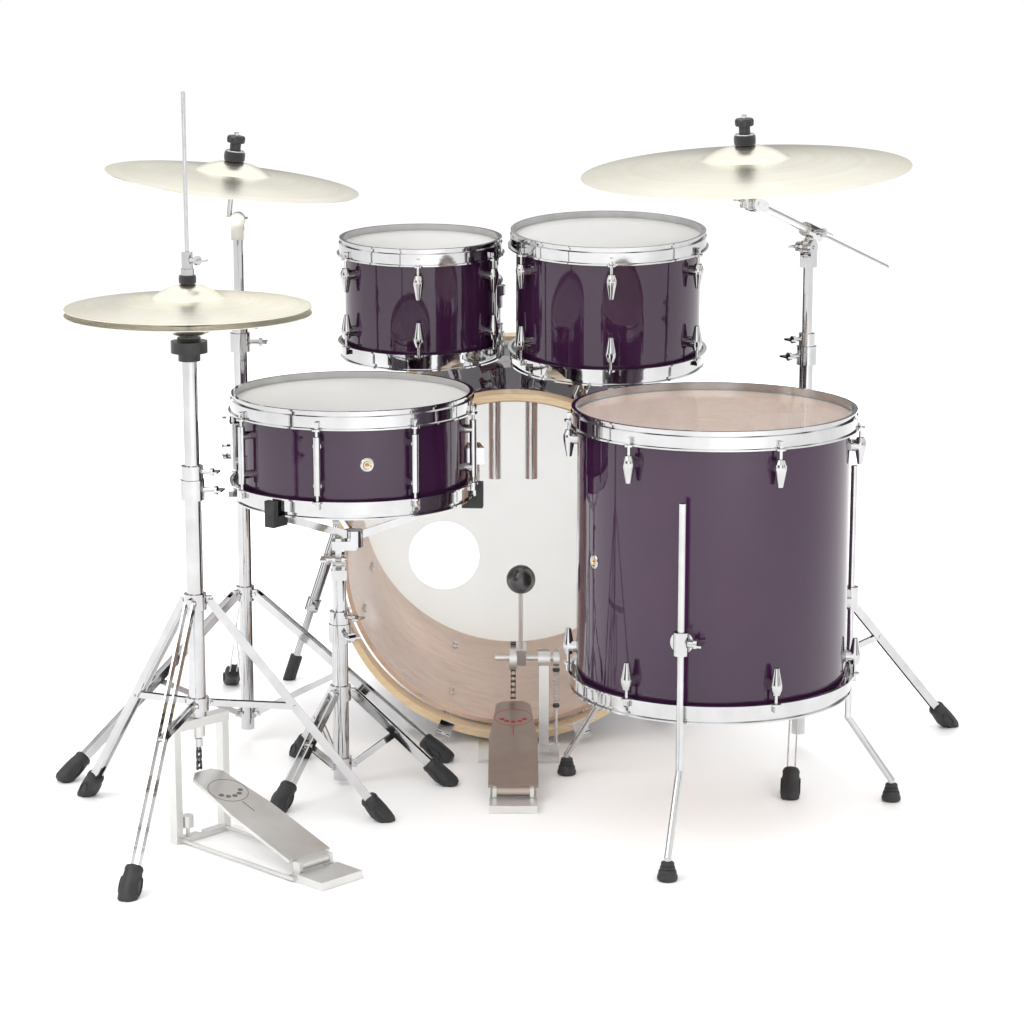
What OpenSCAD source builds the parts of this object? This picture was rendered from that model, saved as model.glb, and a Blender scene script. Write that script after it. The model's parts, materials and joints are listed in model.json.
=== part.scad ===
// Five-piece acoustic drum kit, set up for a right-handed player.
// The player sits on the -Y side and looks along +Y. The floor is z = 0.
// Angles around a drum or a stand are 0 towards the player and grow towards +X.

/* [Bass drum] */
// Diameter of the bass drum shell
bass_d = 559; // [500:1:671]
// Depth of the bass drum shell
bass_depth = 457; // [360:1:550]
// Wall of the bass drum shell
bass_wall = 7; // [5:0.5:10]
// Width of the wooden hoops along the drum
bass_hoop_w = 38; // [30:1:46]
// Thickness of the wooden hoops
bass_hoop_t = 11; // [9:0.5:13]
// Lift of the front end, as an angle
bass_tilt = 2; // [0:0.5:4]
// Claws and lugs on each head
bass_lug_count = 8; // [6:2:10]
// Diameter of the port hole in the front head
port_d = 127; // [100:1:150]
// Sideways spread of a spur between its pivot and the floor
spur_splay = 97; // [60:1:120]

/* [High tom] */
// Diameter of the high tom shell
high_tom_d = 254; // [212:1:305]
// Depth of the high tom shell
high_tom_depth = 178; // [160:1:215]
// Gap between the high tom and the top of the bass drum
high_tom_gap = 26; // [20:1:60]
// Tilt of the high tom towards the player
high_tom_tilt = 2.5; // [0:0.5:6]
// Distance of the high tom's centre in front of its post
high_tom_reach = 140; // [125:1:160]

/* [Mid tom] */
// Diameter of the mid tom shell
mid_tom_d = 305; // [254:1:366]
// Depth of the mid tom shell
mid_tom_depth = 203; // [170:1:245]
// Gap between the mid tom and the top of the bass drum
mid_tom_gap = 20; // [18:1:60]
// Tilt of the mid tom towards the player
mid_tom_tilt = 4.5; // [0:0.5:6]
// Distance of the mid tom's centre in front of its post
mid_tom_reach = 190; // [170:1:210]
// Gap between the hoops of the two hanging toms
tom_spacing = 9; // [6:1:40]

/* [Floor tom] */
// Diameter of the floor tom shell
floor_tom_d = 406; // [340:1:487]
// Depth of the floor tom shell
floor_tom_depth = 406; // [340:1:487]
// Height of the floor tom's lower edge above the floor
floor_tom_z = 219; // [200:1:260]
// Diameter of the floor tom's leg rods
leg_rod_d = 10.5; // [9:0.5:12]
// Length of the straight part of a leg rod
leg_rod_len = 395; // [330:1:430]

/* [Snare drum] */
// Diameter of the snare drum shell
snare_d = 356; // [300:1:427]
// Depth of the snare drum shell
snare_depth = 140; // [110:1:168]
// Height of the snare drum's upper edge
snare_z = 619; // [590:1:680]
// Number of strands in the snare wires
strand_count = 10; // [6:1:12]

/* [Drum hardware] */
// Wall of the tom and snare shells
shell_wall = 6; // [5:0.5:9]
// Diameter of the tension rods
rod_d = 5; // [4:0.5:6]
// Thickness of the pressed steel hoops
hoop_t = 2.3; // [1.6:0.1:3]
// Height of a lug casting
lug_h = 40; // [32:1:44]

/* [Cymbals] */
// Diameter of the two hi-hat cymbals
hat_d = 356; // [300:1:380]
// Diameter of the crash cymbal
crash_d = 406; // [340:1:420]
// Diameter of the ride cymbal
ride_d = 508; // [430:1:560]
// Thickness of a cymbal
cymbal_t = 1.4; // [1:0.1:2]
// Gap between the edges of the open hi-hat cymbals
hat_gap = 10; // [6:1:14]

/* [Stands] */
// Diameter of the base tubes
base_tube_d = 25.4; // [24:0.2:30]
// Diameter of the sliding upper tubes
upper_tube_d = 22.2; // [18:0.2:23]
// Wall of the tubes
tube_wall = 1.3; // [1:0.1:1.6]
// Spread of the hi-hat legs
hat_leg_r = 275; // [230:1:290]
// Spread of the crash stand legs
crash_leg_r = 340; // [300:1:360]
// Spread of the ride stand legs
ride_leg_r = 280; // [240:1:300]
// Spread of the snare stand legs
snare_leg_r = 160; // [140:1:170]
// Length of the ride boom arm
boom_len = 440; // [360:1:470]
// Width of one flat leg strip
leg_w = 13; // [10:1:16]

/* [Pedals] */
// Width of both footboards
board_w = 78; // [65:1:88]
// Length of the bass pedal footboard
board_len = 300; // [260:1:320]
// Length of the beater from axle to ball centre
beater_len = 205; // [180:1:210]
// Diameter of the beater ball
beater_d = 46; // [38:1:52]
// Height of the bass pedal axle
axle_z = 162; // [150:1:180]

/* [Hidden] */
$fn = 96;

// Clearances
seat = 0.15;    // between parts that rest on each other
slip = 0.2;     // radial, between parts that slide or turn
apart = 0.4;    // between parts that only pass each other

// Steel hoop section, measured out from the shell and up from its edge
film_t = 1;
flesh_in = 1.5;
flesh_out = 6;
flesh_drop = 6;
hoop_in = 3;
hoop_step = 7.6;
hoop_rise = 12;
hoop_drop = 16;
hoop_out = 13.5;
hoop_roll = 9;
rod_out = 13.5;
ear_r = 7.5;
ear_below = 0.6;
lug_drop = 30;

// Bass drum
bass_r = bass_d / 2;
bass_hoop_in = bass_r + hoop_in;
bass_hoop_r = bass_hoop_in + bass_hoop_t;
bass_edge = bass_hoop_w + film_t + 2 * seat;
bass_x = -14;
bass_y = 98;
plate_t = 5;
bass_z = plate_t + seat + bass_hoop_r * cos(bass_tilt);
bass_top = bass_z + bass_hoop_r;
bass_lug_inset = 95;
claw_t = 3;
claw_w = 24;
claw_rod_out = 12;
port_at = [-125, -110];
spur_y = 405;
spur_z = -16;
spur_out = 26;

function bass_point(p) = [
    bass_x + p.x,
    bass_y - p.y * sin(bass_tilt) - p.z * cos(bass_tilt),
    bass_z + p.y * cos(bass_tilt) - p.z * sin(bass_tilt)
];

// Tom holder and hanging toms
holder_in = 372;
post_gap = 64;
post_d = 22.2;
post_below = 215;
socket_r = 17;
socket_h = 46;
ball_r = 15;
cup_r = 19;
cup_low = 23;
cup_high = 7;
cup_skirt = 22;
arm_d = 11;
mount_w = 26;
mount_h = 24;
mount_out = 22;
high_tom_mid_z = bass_top + high_tom_gap + hoop_rise + high_tom_depth / 2;
mid_tom_mid_z = bass_top + mid_tom_gap + hoop_rise + mid_tom_depth / 2;
function post_height(z) = (z - bass_z - holder_in * sin(bass_tilt)) / cos(bass_tilt);
high_post_h = post_height(high_tom_mid_z + high_tom_reach * sin(high_tom_tilt));
mid_post_h = post_height(mid_tom_mid_z + mid_tom_reach * sin(mid_tom_tilt));
high_pivot = bass_point([-post_gap / 2, high_post_h, -holder_in]);
mid_pivot = bass_point([post_gap / 2, mid_post_h, -holder_in]);
tom_pair = (high_tom_d + mid_tom_d) / 2 + 2 * hoop_out + tom_spacing;
high_tom_x = bass_x - tom_pair * 0.49;
tom_pair_y = mid_tom_reach - high_tom_reach;
mid_tom_x = high_tom_x + sqrt(tom_pair * tom_pair - tom_pair_y * tom_pair_y);

// From each tom's centre to the ball that carries it
high_arm = [high_pivot.x - high_tom_x, high_tom_reach];
mid_arm = [mid_pivot.x - mid_tom_x, mid_tom_reach];

// Floor tom
floor_tom_at = [284, bass_y - floor_tom_d / 2 - 170, floor_tom_z + floor_tom_depth / 2];
floor_tom_first = 22;
leg_first = -15;
leg_out = 22;
leg_kick = 75;
leg_kick_z = 32;
leg_bend_z = 140;
leg_bracket_z = 330;

// Snare drum and its stand
snare_at = [-262, bass_y - snare_d / 2 - hoop_out - 14, snare_z - snare_depth / 2];
snare_first = 32;
strainer_a = -80.5;
gate_w = 62;
gate_h = 9.2;
strap_w = 42;
strap_out = 17;
strap_up = 26;
strap_drop = 4;
lever_w = 12;
lever_out = 19;
snare_arm_a = -35.5;
snare_bottom = snare_z - snare_depth;
snare_rim_z = snare_bottom - hoop_rise;
snare_stand_at = [snare_at.x - 24, snare_at.y - 4, 0];
basket_z = snare_rim_z - 68;
basket_pivot_z = basket_z - 34;

// Cymbals: rise of the bow, and height and radius of the bell
hat_shape = [14, 19, 52];
crash_shape = [15, 17, 60];
ride_shape = [20, 19, 68];
cymbal_hole_r = 6;
stem_r = 4;
sleeve_r = 5.5;
clutch_r = cymbal_hole_r - 0.8;
felt_h = 9;
felt_r = 15;
clutch_felt_r = 12;
pull_r = 3;
pull_top = 1105;
seat_r = 26.5;

// Stands
hat_at = [-482, -369, 0];
crash_at = [-456, 128, 0];
ride_at = [458, 101, 0];
hat_edge_z = 787;
hat_top_z = hat_edge_z + hat_gap;
hat_rise = hat_shape[0] + hat_shape[1];
seat_top = hat_edge_z - hat_rise - seat;
hat_turn = 46;
base_r = base_tube_d / 2;
upper_r = upper_tube_d / 2;
base_bore = upper_r + slip;
lock_h = 30;
foot_len = 58;
foot_r = 15;
leg_t = 2.4;
leg_gap = 12;
leg_end_z = 20;
hat_lock_z = 545;
crash_lock_z = 685;
ride_lock_z = 668;
snare_lock_z = 262;

// Height of each tripod's crown and brace collar, and angle of its first leg
hat_legs = [362, 206, -15];
crash_legs = [252, 50, -50];
ride_legs = [322, 130, -8];
snare_legs = [150, 34, -32];
tube_in = 250;
tube_bottom = 20;
clamp_root = [-10, -10, -32];
clamp_root_size = [20, 20, 16];

// Cymbal arms
crash_pivot_z = 868;
boom_pivot_z = 827;
boom_turn = -37;
boom_rise = 19;
boom_front = 185;
boom_up = 25;
boom_d = 13;
gear_r = 12;
gear_w = 9;
cheek_t = 5;
bolt_r = 3;
cymbal_base_r = 11.1;
cymbal_tube_r = 8;
crash_lean = [1.5, 6.5];
ride_lean = [3.5, -3];
crash_off = 14;
ride_off = 20;
crash_rise = 61;
ride_rise = 55;

function boom_point(y, z) =
    let (flat = y * cos(boom_rise) + z * sin(boom_rise))
    [ride_at.x - flat * sin(boom_turn), ride_at.y + flat * cos(boom_turn),
        boom_pivot_z - y * sin(boom_rise) + z * cos(boom_rise)];
crash_pivot = [crash_at.x, crash_at.y, crash_pivot_z];
ride_pivot = boom_point(-boom_front, boom_up);

// Rubber grips of the snare basket
grip_w = 18;
grip_in = 8;
grip_out = 24;

// Pedals
pedal_x = bass_x;
axle_y = bass_y - 45;
heel_z = 20;
heel_len = 48;
board_t = 5;
board_rise = 10.5;
ear_x = 26;
hub_r = 20;
cam_r = 14;
chain_y = axle_y + hub_r + 4;
hinge_y = chain_y + 2 - board_len * cos(board_rise);
toe_z = heel_z + board_len * sin(board_rise);
post_x = 50;
spring_x = 70;
spring_y = axle_y - 8;
beater_x = 12;
beater_back = 38;
axle_r = 5;
hinge_r = 3;
hat_board_len = 256;
hat_board_rise = 17.5;
hat_hinge_y = -hat_board_len * cos(hat_board_rise) - 6;
hat_frame_w = 92;
hat_frame_z = 190;
hat_chain_z = heel_z + hat_board_len * sin(hat_board_rise) + board_t + 4;
chain_top_z = 140;

// ---------------------------------------------------------------- placing

module around(count, first) {
    for (i = [0 : count - 1]) rotate(first + i * 360 / count) children();
}

module at_bass() {
    translate([bass_x, bass_y, bass_z]) rotate([90 + bass_tilt, 0, 0]) children();
}

module at_high_tom() {
    translate(high_pivot) rotate([high_tom_tilt, 0, 0])
        translate([-high_arm.x, -high_arm.y, 0]) children();
}

module at_mid_tom() {
    translate(mid_pivot) rotate([mid_tom_tilt, 0, 0])
        translate([-mid_arm.x, -mid_arm.y, 0]) children();
}

module ring(r_out, r_in, h) {
    difference() {
        cylinder(r = r_out, h = h);
        translate([0, 0, -1]) cylinder(r = r_in, h = h + 2);
    }
}

// A straight bar of a given section between two points of the X = 0 plane
module strip(from, to, w, t) {
    run = to.x - from.x;
    rise = to.y - from.y;
    len = sqrt(run * run + rise * rise);
    translate([0, -from.x, from.y]) rotate([atan2(run, rise), 0, 0])
        translate([-t / 2, -w / 2, 0]) cube([t, w, len]);
}

module wing(r = 4, len = 16) {
    rotate([90, 0, 0]) {
        cylinder(r = r, h = len);
        translate([0, 0, len - 5]) cylinder(r = r * 1.7, h = 5);
        translate([-3 * r, -1.5, len - 2]) cube([6 * r, 3, 10]);
    }
}

// ---------------------------------------------------------------- drum parts
// Drums are centred on z = 0 with their axis on Z.

module shell(d, depth, wall, vent_a) {
    difference() {
        translate([0, 0, -depth / 2]) ring(d / 2, d / 2 - wall, depth);
        rotate(vent_a) rotate([90, 0, 0]) cylinder(r = 5, h = d);
    }
}

module head(r) {
    rotate_extrude() polygon([
        [0, seat], [r + flesh_in, seat], [r + flesh_in, -flesh_drop],
        [r + flesh_out, -flesh_drop], [r + flesh_out, seat + film_t],
        [0, seat + film_t]
    ]);
}

module both_ends(depth) {
    translate([0, 0, depth / 2]) children();
    mirror([0, 0, 1]) translate([0, 0, depth / 2]) children();
}

// Pressed hoop with a rolled rim, a step over the head and an eared flange
module hoop(r, count, first) {
    low = seat * 2 + film_t;
    difference() {
        union() {
            rotate_extrude() polygon([
                [r + hoop_in, low], [r + hoop_step, low],
                [r + hoop_step, hoop_t - hoop_drop], [r + hoop_step, -hoop_drop],
                [r + hoop_out, -hoop_drop], [r + hoop_out, hoop_t - hoop_drop],
                [r + hoop_step + hoop_t, hoop_t - hoop_drop],
                [r + hoop_step + hoop_t, low + hoop_t],
                [r + hoop_in + hoop_t, low + hoop_t],
                [r + hoop_in + hoop_t, hoop_rise - hoop_t],
                [r + hoop_roll, hoop_rise - hoop_t], [r + hoop_roll, hoop_rise],
                [r + hoop_in, hoop_rise]
            ]);
            difference() {
                around(count, first) translate([0, -r - rod_out, -hoop_drop - ear_below])
                    cylinder(r = ear_r, h = hoop_t + ear_below - seat);
                translate([0, 0, -hoop_drop - 2]) cylinder(r = r + hoop_step + hoop_t / 2, h = hoop_t + 4);
            }
        }
        around(count, first) translate([0, -r - rod_out, -hoop_drop - 1])
            cylinder(r = rod_d / 2 + slip, h = hoop_t + 2);
    }
}

// Teardrop casting on a round foot, bored for its rod
module lug(r) {
    difference() {
        translate([0, -r - rod_out, -lug_drop]) {
            rotate_extrude() polygon([
                [0, 0], [6, 0], [9, -8], [9, -14], [4, -lug_h], [0, -lug_h]
            ]);
            translate([0, rod_out, -12]) rotate([90, 0, 0]) cylinder(r = 9, h = rod_out);
        }
        translate([0, -r - rod_out, -lug_drop - 14]) cylinder(r = rod_d / 2 + slip, h = 15);
        translate([0, 0, -lug_drop - lug_h]) cylinder(r = r + seat, h = 2 * lug_h);
    }
}

// Tension rod with a washer and a square key head
module tension_rod(r) {
    translate([0, -r - rod_out, -hoop_drop + hoop_t + seat]) {
        translate([0, 0, -lug_drop + 2]) cylinder(r = rod_d / 2, h = lug_drop);
        cylinder(r = rod_out - hoop_step - hoop_t - seat, h = 2);
        translate([-3, -3, 1]) cube([6, 6, 9]);
    }
}

module lug_set(d, depth, count, first) {
    both_ends(depth) around(count, first) {
        lug(d / 2);
        tension_rod(d / 2);
    }
}

module drum_heads(d, depth) {
    both_ends(depth) head(d / 2);
}

module drum_hoops(d, depth, count, first) {
    translate([0, 0, depth / 2]) hoop(d / 2, count, first);
    translate([0, 0, -depth / 2]) mirror([0, 0, 1]) hoop(d / 2, count, first);
}

// ---------------------------------------------------------------- bass drum
// Local frame: batter side at z = 0, drum body towards -Z, top towards +Y.

module bass_shell() color("indigo") at_bass() difference() {
    translate([0, 0, -bass_edge - bass_depth]) ring(bass_r, bass_r - bass_wall, bass_depth);
    for (side = [-1, 1]) translate([side * post_gap / 2, bass_r - 60, -holder_in])
        rotate([-90, 0, 0]) cylinder(r = post_d / 2 + 1, h = 80);
}

module bass_heads() color("ivory") at_bass() {
    translate([0, 0, -bass_edge]) head(bass_r);
    difference() {
        translate([0, 0, -bass_edge - bass_depth]) mirror([0, 0, 1]) head(bass_r);
        translate([port_at.x, port_at.y, -bass_edge - bass_depth - 10]) cylinder(r = port_d / 2, h = 20);
    }
}

module bass_hoops() color("burlywood") at_bass() {
    translate([0, 0, -bass_hoop_w]) ring(bass_hoop_r, bass_hoop_in, bass_hoop_w);
    translate([0, 0, -2 * bass_edge - bass_depth])
        ring(bass_hoop_r, bass_hoop_in, bass_hoop_w);
}

module bass_lug() {
    rod_r = bass_hoop_r + claw_rod_out;
    difference() {
        translate([0, -rod_r, -bass_edge - bass_lug_inset]) {
            translate([0, 0, -25]) cylinder(r = 8, h = 50);
            translate([0, rod_r - bass_r, 0]) rotate([90, 0, 0])
                cylinder(r = 11, h = rod_r - bass_r);
        }
        translate([0, -rod_r, -bass_edge - bass_lug_inset])
            cylinder(r = rod_d / 2 + 0.5 + slip, h = 30);
        translate([0, 0, -bass_edge - bass_lug_inset - 30]) cylinder(r = bass_r + seat, h = 60);
    }
}

module bass_claw() {
    rod_r = bass_hoop_r + claw_rod_out;
    long = bass_edge + bass_lug_inset - 8;
    difference() {
        translate([-claw_w / 2, -bass_hoop_r - 20, -bass_hoop_w * 0.8])
            cube([claw_w, 20 + bass_hoop_t, bass_hoop_w * 0.8 + seat + claw_t]);
        translate([0, 0, -bass_hoop_w]) cylinder(r = bass_hoop_r + seat, h = bass_hoop_w + seat);
        translate([0, -rod_r, -bass_hoop_w]) cylinder(r = rod_d / 2 + 0.5 + slip, h = 60);
        translate([-claw_w, -bass_hoop_r - 21, -bass_hoop_w])
            cube([2 * claw_w, 18 - claw_t, bass_hoop_w - 8]);
    }
    translate([0, -rod_r, claw_t + 2 * seat - long]) cylinder(r = rod_d / 2 + 0.5, h = long);
    translate([0, -rod_r, claw_t + 2 * seat]) cylinder(r = rod_d, h = 3);
    translate([-12, -rod_r - 2.5, claw_t + 3]) cube([24, 5, 5]);
}

module bass_ends() {
    children();
    translate([0, 0, -2 * bass_edge - bass_depth]) mirror([0, 0, 1]) children();
}

module bass_lugs() color("silver") at_bass() bass_ends()
    around(bass_lug_count, 180 / bass_lug_count) bass_lug();

module bass_claws() color("silver") at_bass() bass_ends()
    around(bass_lug_count, 180 / bass_lug_count) bass_claw();

// Spurs: local frame at the pivot, with the pivot bolt along X
function spur_pivot(side) = bass_point([side * (bass_r + spur_out), spur_z, -spur_y]);

module spur_bracket(side) {
    difference() {
        translate([side * bass_r, spur_z, -spur_y]) {
            translate([side < 0 ? -8 : -12, -24, -20]) cube([20, 48, 40]);
            rotate([0, side * 90, 0]) cylinder(r = 14, h = 14);
        }
        translate([0, 0, -spur_y - 40]) cylinder(r = bass_r + seat, h = 80);
    }
}

// Spur brackets on the sides and the tom holder on top
module bass_brackets() color("silver") at_bass() {
    spur_bracket(-1);
    spur_bracket(1);
    tom_holder();
}

module spur(side) {
    at = spur_pivot(side);
    drop = at.z;
    lean = atan2(spur_splay, drop);
    long = sqrt(drop * drop + spur_splay * spur_splay);
    translate(at) {
        color("silver") difference() {
            union() {
                translate([side < 0 ? -15 : -11, 0, 0]) rotate([0, 90, 0]) cylinder(r = 14, h = 26);
                rotate([0, 180 - side * lean, 0]) {
                    cylinder(r = 9.5, h = long * 0.55);
                    translate([0, 0, long * 0.5]) cylinder(r = 13, h = 22);
                    cylinder(r = 6.5, h = long - 34);
                    translate([0, 0, long * 0.5 + 11]) wing(3.5, 26);
                }
            }
            translate([-side * (11 + 20), 0, 0]) cube([40, 60, 60], center = true);
        }
        color("black") difference() {
            rotate([0, 180 - side * lean, 0]) translate([0, 0, long - 46]) {
                difference() {
                    cylinder(r = 11, h = 56);
                    translate([0, 0, -1]) cylinder(r = 6.5 + seat, h = 13 + seat);
                }
            }
            translate([-60 + side * spur_splay, -60, -drop - 60]) cube([120, 120, 60]);
        }
    }
}

module spur_left() spur(-1);
module spur_right() spur(1);

module tom_holder() difference() {
    union() {
        translate([-60, bass_r - 14, -holder_in - 34]) cube([120, 24, 68]);
        for (side = [-1, 1]) translate([side * post_gap / 2, bass_r, -holder_in])
            rotate([-90, 0, 0]) cylinder(r = socket_r, h = socket_h);
        for (side = [-1, 1]) translate([side * (post_gap / 2 + socket_r - 2), bass_r + 34, -holder_in])
            rotate(side * 90) wing(4, 18);
    }
    for (side = [-1, 1]) translate([side * post_gap / 2, bass_r - 40, -holder_in])
        rotate([-90, 0, 0]) cylinder(r = post_d / 2 + slip, h = 100 + socket_h);
    translate([0, 0, -holder_in - 60]) cylinder(r = bass_r + seat, h = 120);
}

// ---------------------------------------------------------------- hanging toms

module tom_post(side, height) color("silver") at_bass()
    translate([side * post_gap / 2, bass_r - post_below, -holder_in]) rotate([-90, 0, 0]) {
        reach = height - bass_r + post_below;
        difference() {
            cylinder(r = post_d / 2, h = reach - cup_low - seat);
            translate([0, 0, -1]) cylinder(r = post_d / 2 - tube_wall, h = post_below);
        }
        translate([0, 0, post_below + socket_h + apart]) cylinder(r = 15, h = 14);
    }

module high_tom_post() tom_post(-1, high_post_h);
module mid_tom_post() tom_post(1, mid_post_h);

// Cup that turns on the post and holds the arm's ball
module tom_tilter(pivot) color("silver") translate(pivot) rotate([bass_tilt, 0, 0])
    difference() {
        union() {
            translate([0, 0, -cup_low]) cylinder(r = cup_r, h = cup_low - cup_high);
            translate([0, 0, -cup_low - cup_skirt]) cylinder(r = 14.5, h = cup_skirt);
            translate([0, 0, -cup_low + 6]) rotate(180) translate([0, -cup_r + 2, 0]) wing(4, 16);
        }
        sphere(r = ball_r + slip);
        translate([0, 0, -cup_low - cup_skirt - 1])
            cylinder(r = post_d / 2 + slip, h = cup_skirt + 1);
    }

module high_tom_tilter() tom_tilter(high_pivot);
module mid_tom_tilter() tom_tilter(mid_pivot);

// Ball and arm, with the block that is bolted to the shell
module tom_arm(to_ball, r) color("silver") {
    dist = norm(to_ball);
    rotate(atan2(to_ball.x, -to_ball.y)) {
        difference() {
            union() {
                translate([-mount_w / 2, -r - mount_out, -mount_h / 2])
                    cube([mount_w, mount_out + 6, mount_h]);
                translate([0, -r - 4, 0]) rotate([90, 0, 0]) cylinder(r = arm_d / 2, h = dist - r - 4);
            }
            translate([0, 0, -mount_h]) cylinder(r = r + seat, h = 2 * mount_h);
        }
        translate([0, -dist, 0]) sphere(r = ball_r);
    }
}

module high_tom_arm() at_high_tom() tom_arm(high_arm, high_tom_d / 2);
module mid_tom_arm() at_mid_tom() tom_arm(mid_arm, mid_tom_d / 2);

module high_tom_shell() color("indigo") at_high_tom()
    shell(high_tom_d, high_tom_depth, shell_wall, 210);
module high_tom_heads() color("white") at_high_tom() drum_heads(high_tom_d, high_tom_depth);
module high_tom_hoops() color("silver") at_high_tom()
    drum_hoops(high_tom_d, high_tom_depth, 6, 0);
module high_tom_lugs() color("silver") at_high_tom() lug_set(high_tom_d, high_tom_depth, 6, 0);

module mid_tom_shell() color("indigo") at_mid_tom()
    shell(mid_tom_d, mid_tom_depth, shell_wall, 150);
module mid_tom_heads() color("white") at_mid_tom() drum_heads(mid_tom_d, mid_tom_depth);
module mid_tom_hoops() color("silver") at_mid_tom() drum_hoops(mid_tom_d, mid_tom_depth, 6, 0);
module mid_tom_lugs() color("silver") at_mid_tom() lug_set(mid_tom_d, mid_tom_depth, 6, 0);

// ---------------------------------------------------------------- floor tom

module at_floor_tom() {
    translate(floor_tom_at) children();
}

module floor_tom_shell() color("indigo") at_floor_tom()
    shell(floor_tom_d, floor_tom_depth, shell_wall, -62);
module floor_tom_heads() color("white") at_floor_tom()
    drum_heads(floor_tom_d, floor_tom_depth);
module floor_tom_hoops() color("silver") at_floor_tom()
    drum_hoops(floor_tom_d, floor_tom_depth, 6, floor_tom_first);

// Bracket with a bore for the leg rod and a wing bolt beside it
module leg_bracket() {
    r = floor_tom_d / 2;
    difference() {
        translate([0, 0, leg_bracket_z - floor_tom_at.z]) {
            translate([0, -r - leg_out, -17]) cylinder(r = 11, h = 34);
            translate([0, -r + 6, 0]) rotate([90, 0, 0]) cylinder(r = 17, h = leg_out);
            translate([6, -r - leg_out, 0]) rotate(90) wing(4.5, 18);
        }
        translate([0, -r - leg_out, leg_bracket_z - floor_tom_at.z - 30])
            cylinder(r = leg_rod_d / 2 + slip, h = 60);
        translate([0, 0, leg_bracket_z - floor_tom_at.z - 40]) cylinder(r = r + seat, h = 80);
    }
}

module floor_tom_lugs() color("silver") at_floor_tom() {
    lug_set(floor_tom_d, floor_tom_depth, 6, floor_tom_first);
    around(3, leg_first) leg_bracket();
}

module floor_tom_leg(i) translate([floor_tom_at.x, floor_tom_at.y, 0]) rotate(leg_first + 120 * i) {
    r = floor_tom_d / 2 + leg_out;
    foot_at = r + leg_kick;
    kick = [foot_at - r, leg_kick_z - leg_bend_z];
    color("silver") {
        translate([0, -r, leg_bend_z]) cylinder(r = leg_rod_d / 2, h = leg_rod_len);
        translate([0, -r, leg_bend_z]) sphere(r = leg_rod_d / 2 + 0.3);
        translate([0, -r, leg_bend_z]) rotate([90 - atan2(kick.y, kick.x), 0, 0])
            cylinder(r = leg_rod_d / 2, h = norm(kick));
        translate([0, -foot_at, leg_kick_z]) sphere(r = leg_rod_d / 2 + 0.3);
        translate([0, -foot_at, 14]) cylinder(r = leg_rod_d / 2, h = leg_kick_z - 14);
    }
    color("black") translate([0, -foot_at, 0]) difference() {
        union() {
            cylinder(r = 15, h = 8);
            cylinder(r = 12, h = 27);
        }
        translate([0, 0, 14 - seat]) cylinder(r = leg_rod_d / 2 + seat, h = 30);
    }
}

module floor_tom_leg_1() floor_tom_leg(0);
module floor_tom_leg_2() floor_tom_leg(1);
module floor_tom_leg_3() floor_tom_leg(2);

// ---------------------------------------------------------------- snare drum

module at_snare() {
    translate(snare_at) children();
}

module snare_shell() color("indigo") at_snare() shell(snare_d, snare_depth, shell_wall, 10);
module snare_heads() color("white") at_snare() drum_heads(snare_d, snare_depth);

module snare_hoops() color("silver") at_snare() difference() {
    drum_hoops(snare_d, snare_depth, 8, snare_first);
    around(2, strainer_a)
        translate([-gate_w / 2, -snare_d / 2 - hoop_roll - 1, -snare_depth / 2 - hoop_rise - 1])
            cube([gate_w, hoop_roll, gate_h]);
}

// Double-ended casting that stands off the shell on two feet
module bridge_lug(r) {
    half = snare_depth / 2 - lug_drop + 4;
    difference() {
        union() {
            translate([0, -r - rod_out, -half]) cylinder(r = 5.5, h = 2 * half);
            for (side = [-1, 1]) translate([0, -r, side * (half - 14)])
                rotate([90, 0, 0]) cylinder(r = 6.5, h = rod_out);
        }
        for (side = [-1, 1]) translate([0, -r - rod_out, side * half - 12])
            cylinder(r = rod_d / 2 + slip, h = 24);
        translate([0, 0, -half]) cylinder(r = r + seat, h = 2 * half);
    }
}

module snare_lugs() color("silver") at_snare() {
    around(8, snare_first) bridge_lug(snare_d / 2);
    both_ends(snare_depth) around(8, snare_first) tension_rod(snare_d / 2);
}

// Strands under the lower head, with an end plate and a strap at each end
module snare_wires() color("gainsboro") at_snare() rotate(strainer_a) {
    low = -snare_depth / 2 - 2 * seat - film_t;
    plate_y = snare_d / 2 - 42;
    r = snare_d / 2;
    for (i = [0 : strand_count - 1])
        translate([(i - (strand_count - 1) / 2) * strap_w / strand_count, -plate_y, low - 2])
            rotate([-90, 0, 0]) cylinder(r = 1, h = 2 * plate_y);
    for (side = [-1, 1]) {
        translate([-strap_w / 2 - 2, side > 0 ? plate_y - 1 : -plate_y - 13, low - strap_drop])
            cube([strap_w + 4, 14, strap_drop - 0.5]);
        translate([-strap_w / 2, side > 0 ? plate_y + 10 : -r - strap_out, low - strap_drop])
            cube([strap_w, r + strap_out - plate_y - 10, 0.8]);
        translate([-strap_w / 2, side * (r + strap_out) - 0.4, low - strap_drop])
            cube([strap_w, 0.8, strap_up + 12]);
    }
}

// Throw-off on one side and butt plate on the other
module snare_strainer() color("silver") at_snare() {
    r = snare_d / 2;
    rotate(strainer_a) difference() {
        union() {
            translate([-14, -r - 12, -36]) cube([28, 16, 74]);
            translate([-24, -r - 24, -36]) cube([48, 13, 22]);
            for (side = [-1, 1]) translate([side * (lever_w / 2 + apart + 2) - 2, -r - 24, -10])
                cube([4, 13, 12]);
            translate([-10, -r - lever_out, -4]) rotate([0, 90, 0]) cylinder(r = 2.5, h = 20);
            translate([0, -r - 6, 36]) cylinder(r = 6, h = 13);
        }
        cylinder(r = r + seat, h = 2 * r, center = true);
        strap_slot(r);
    }
    rotate(strainer_a + 180) difference() {
        translate([-24, -r - 24, -36]) cube([48, 28, 26]);
        cylinder(r = r + seat, h = 2 * r, center = true);
        strap_slot(r);
    }
}

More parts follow.
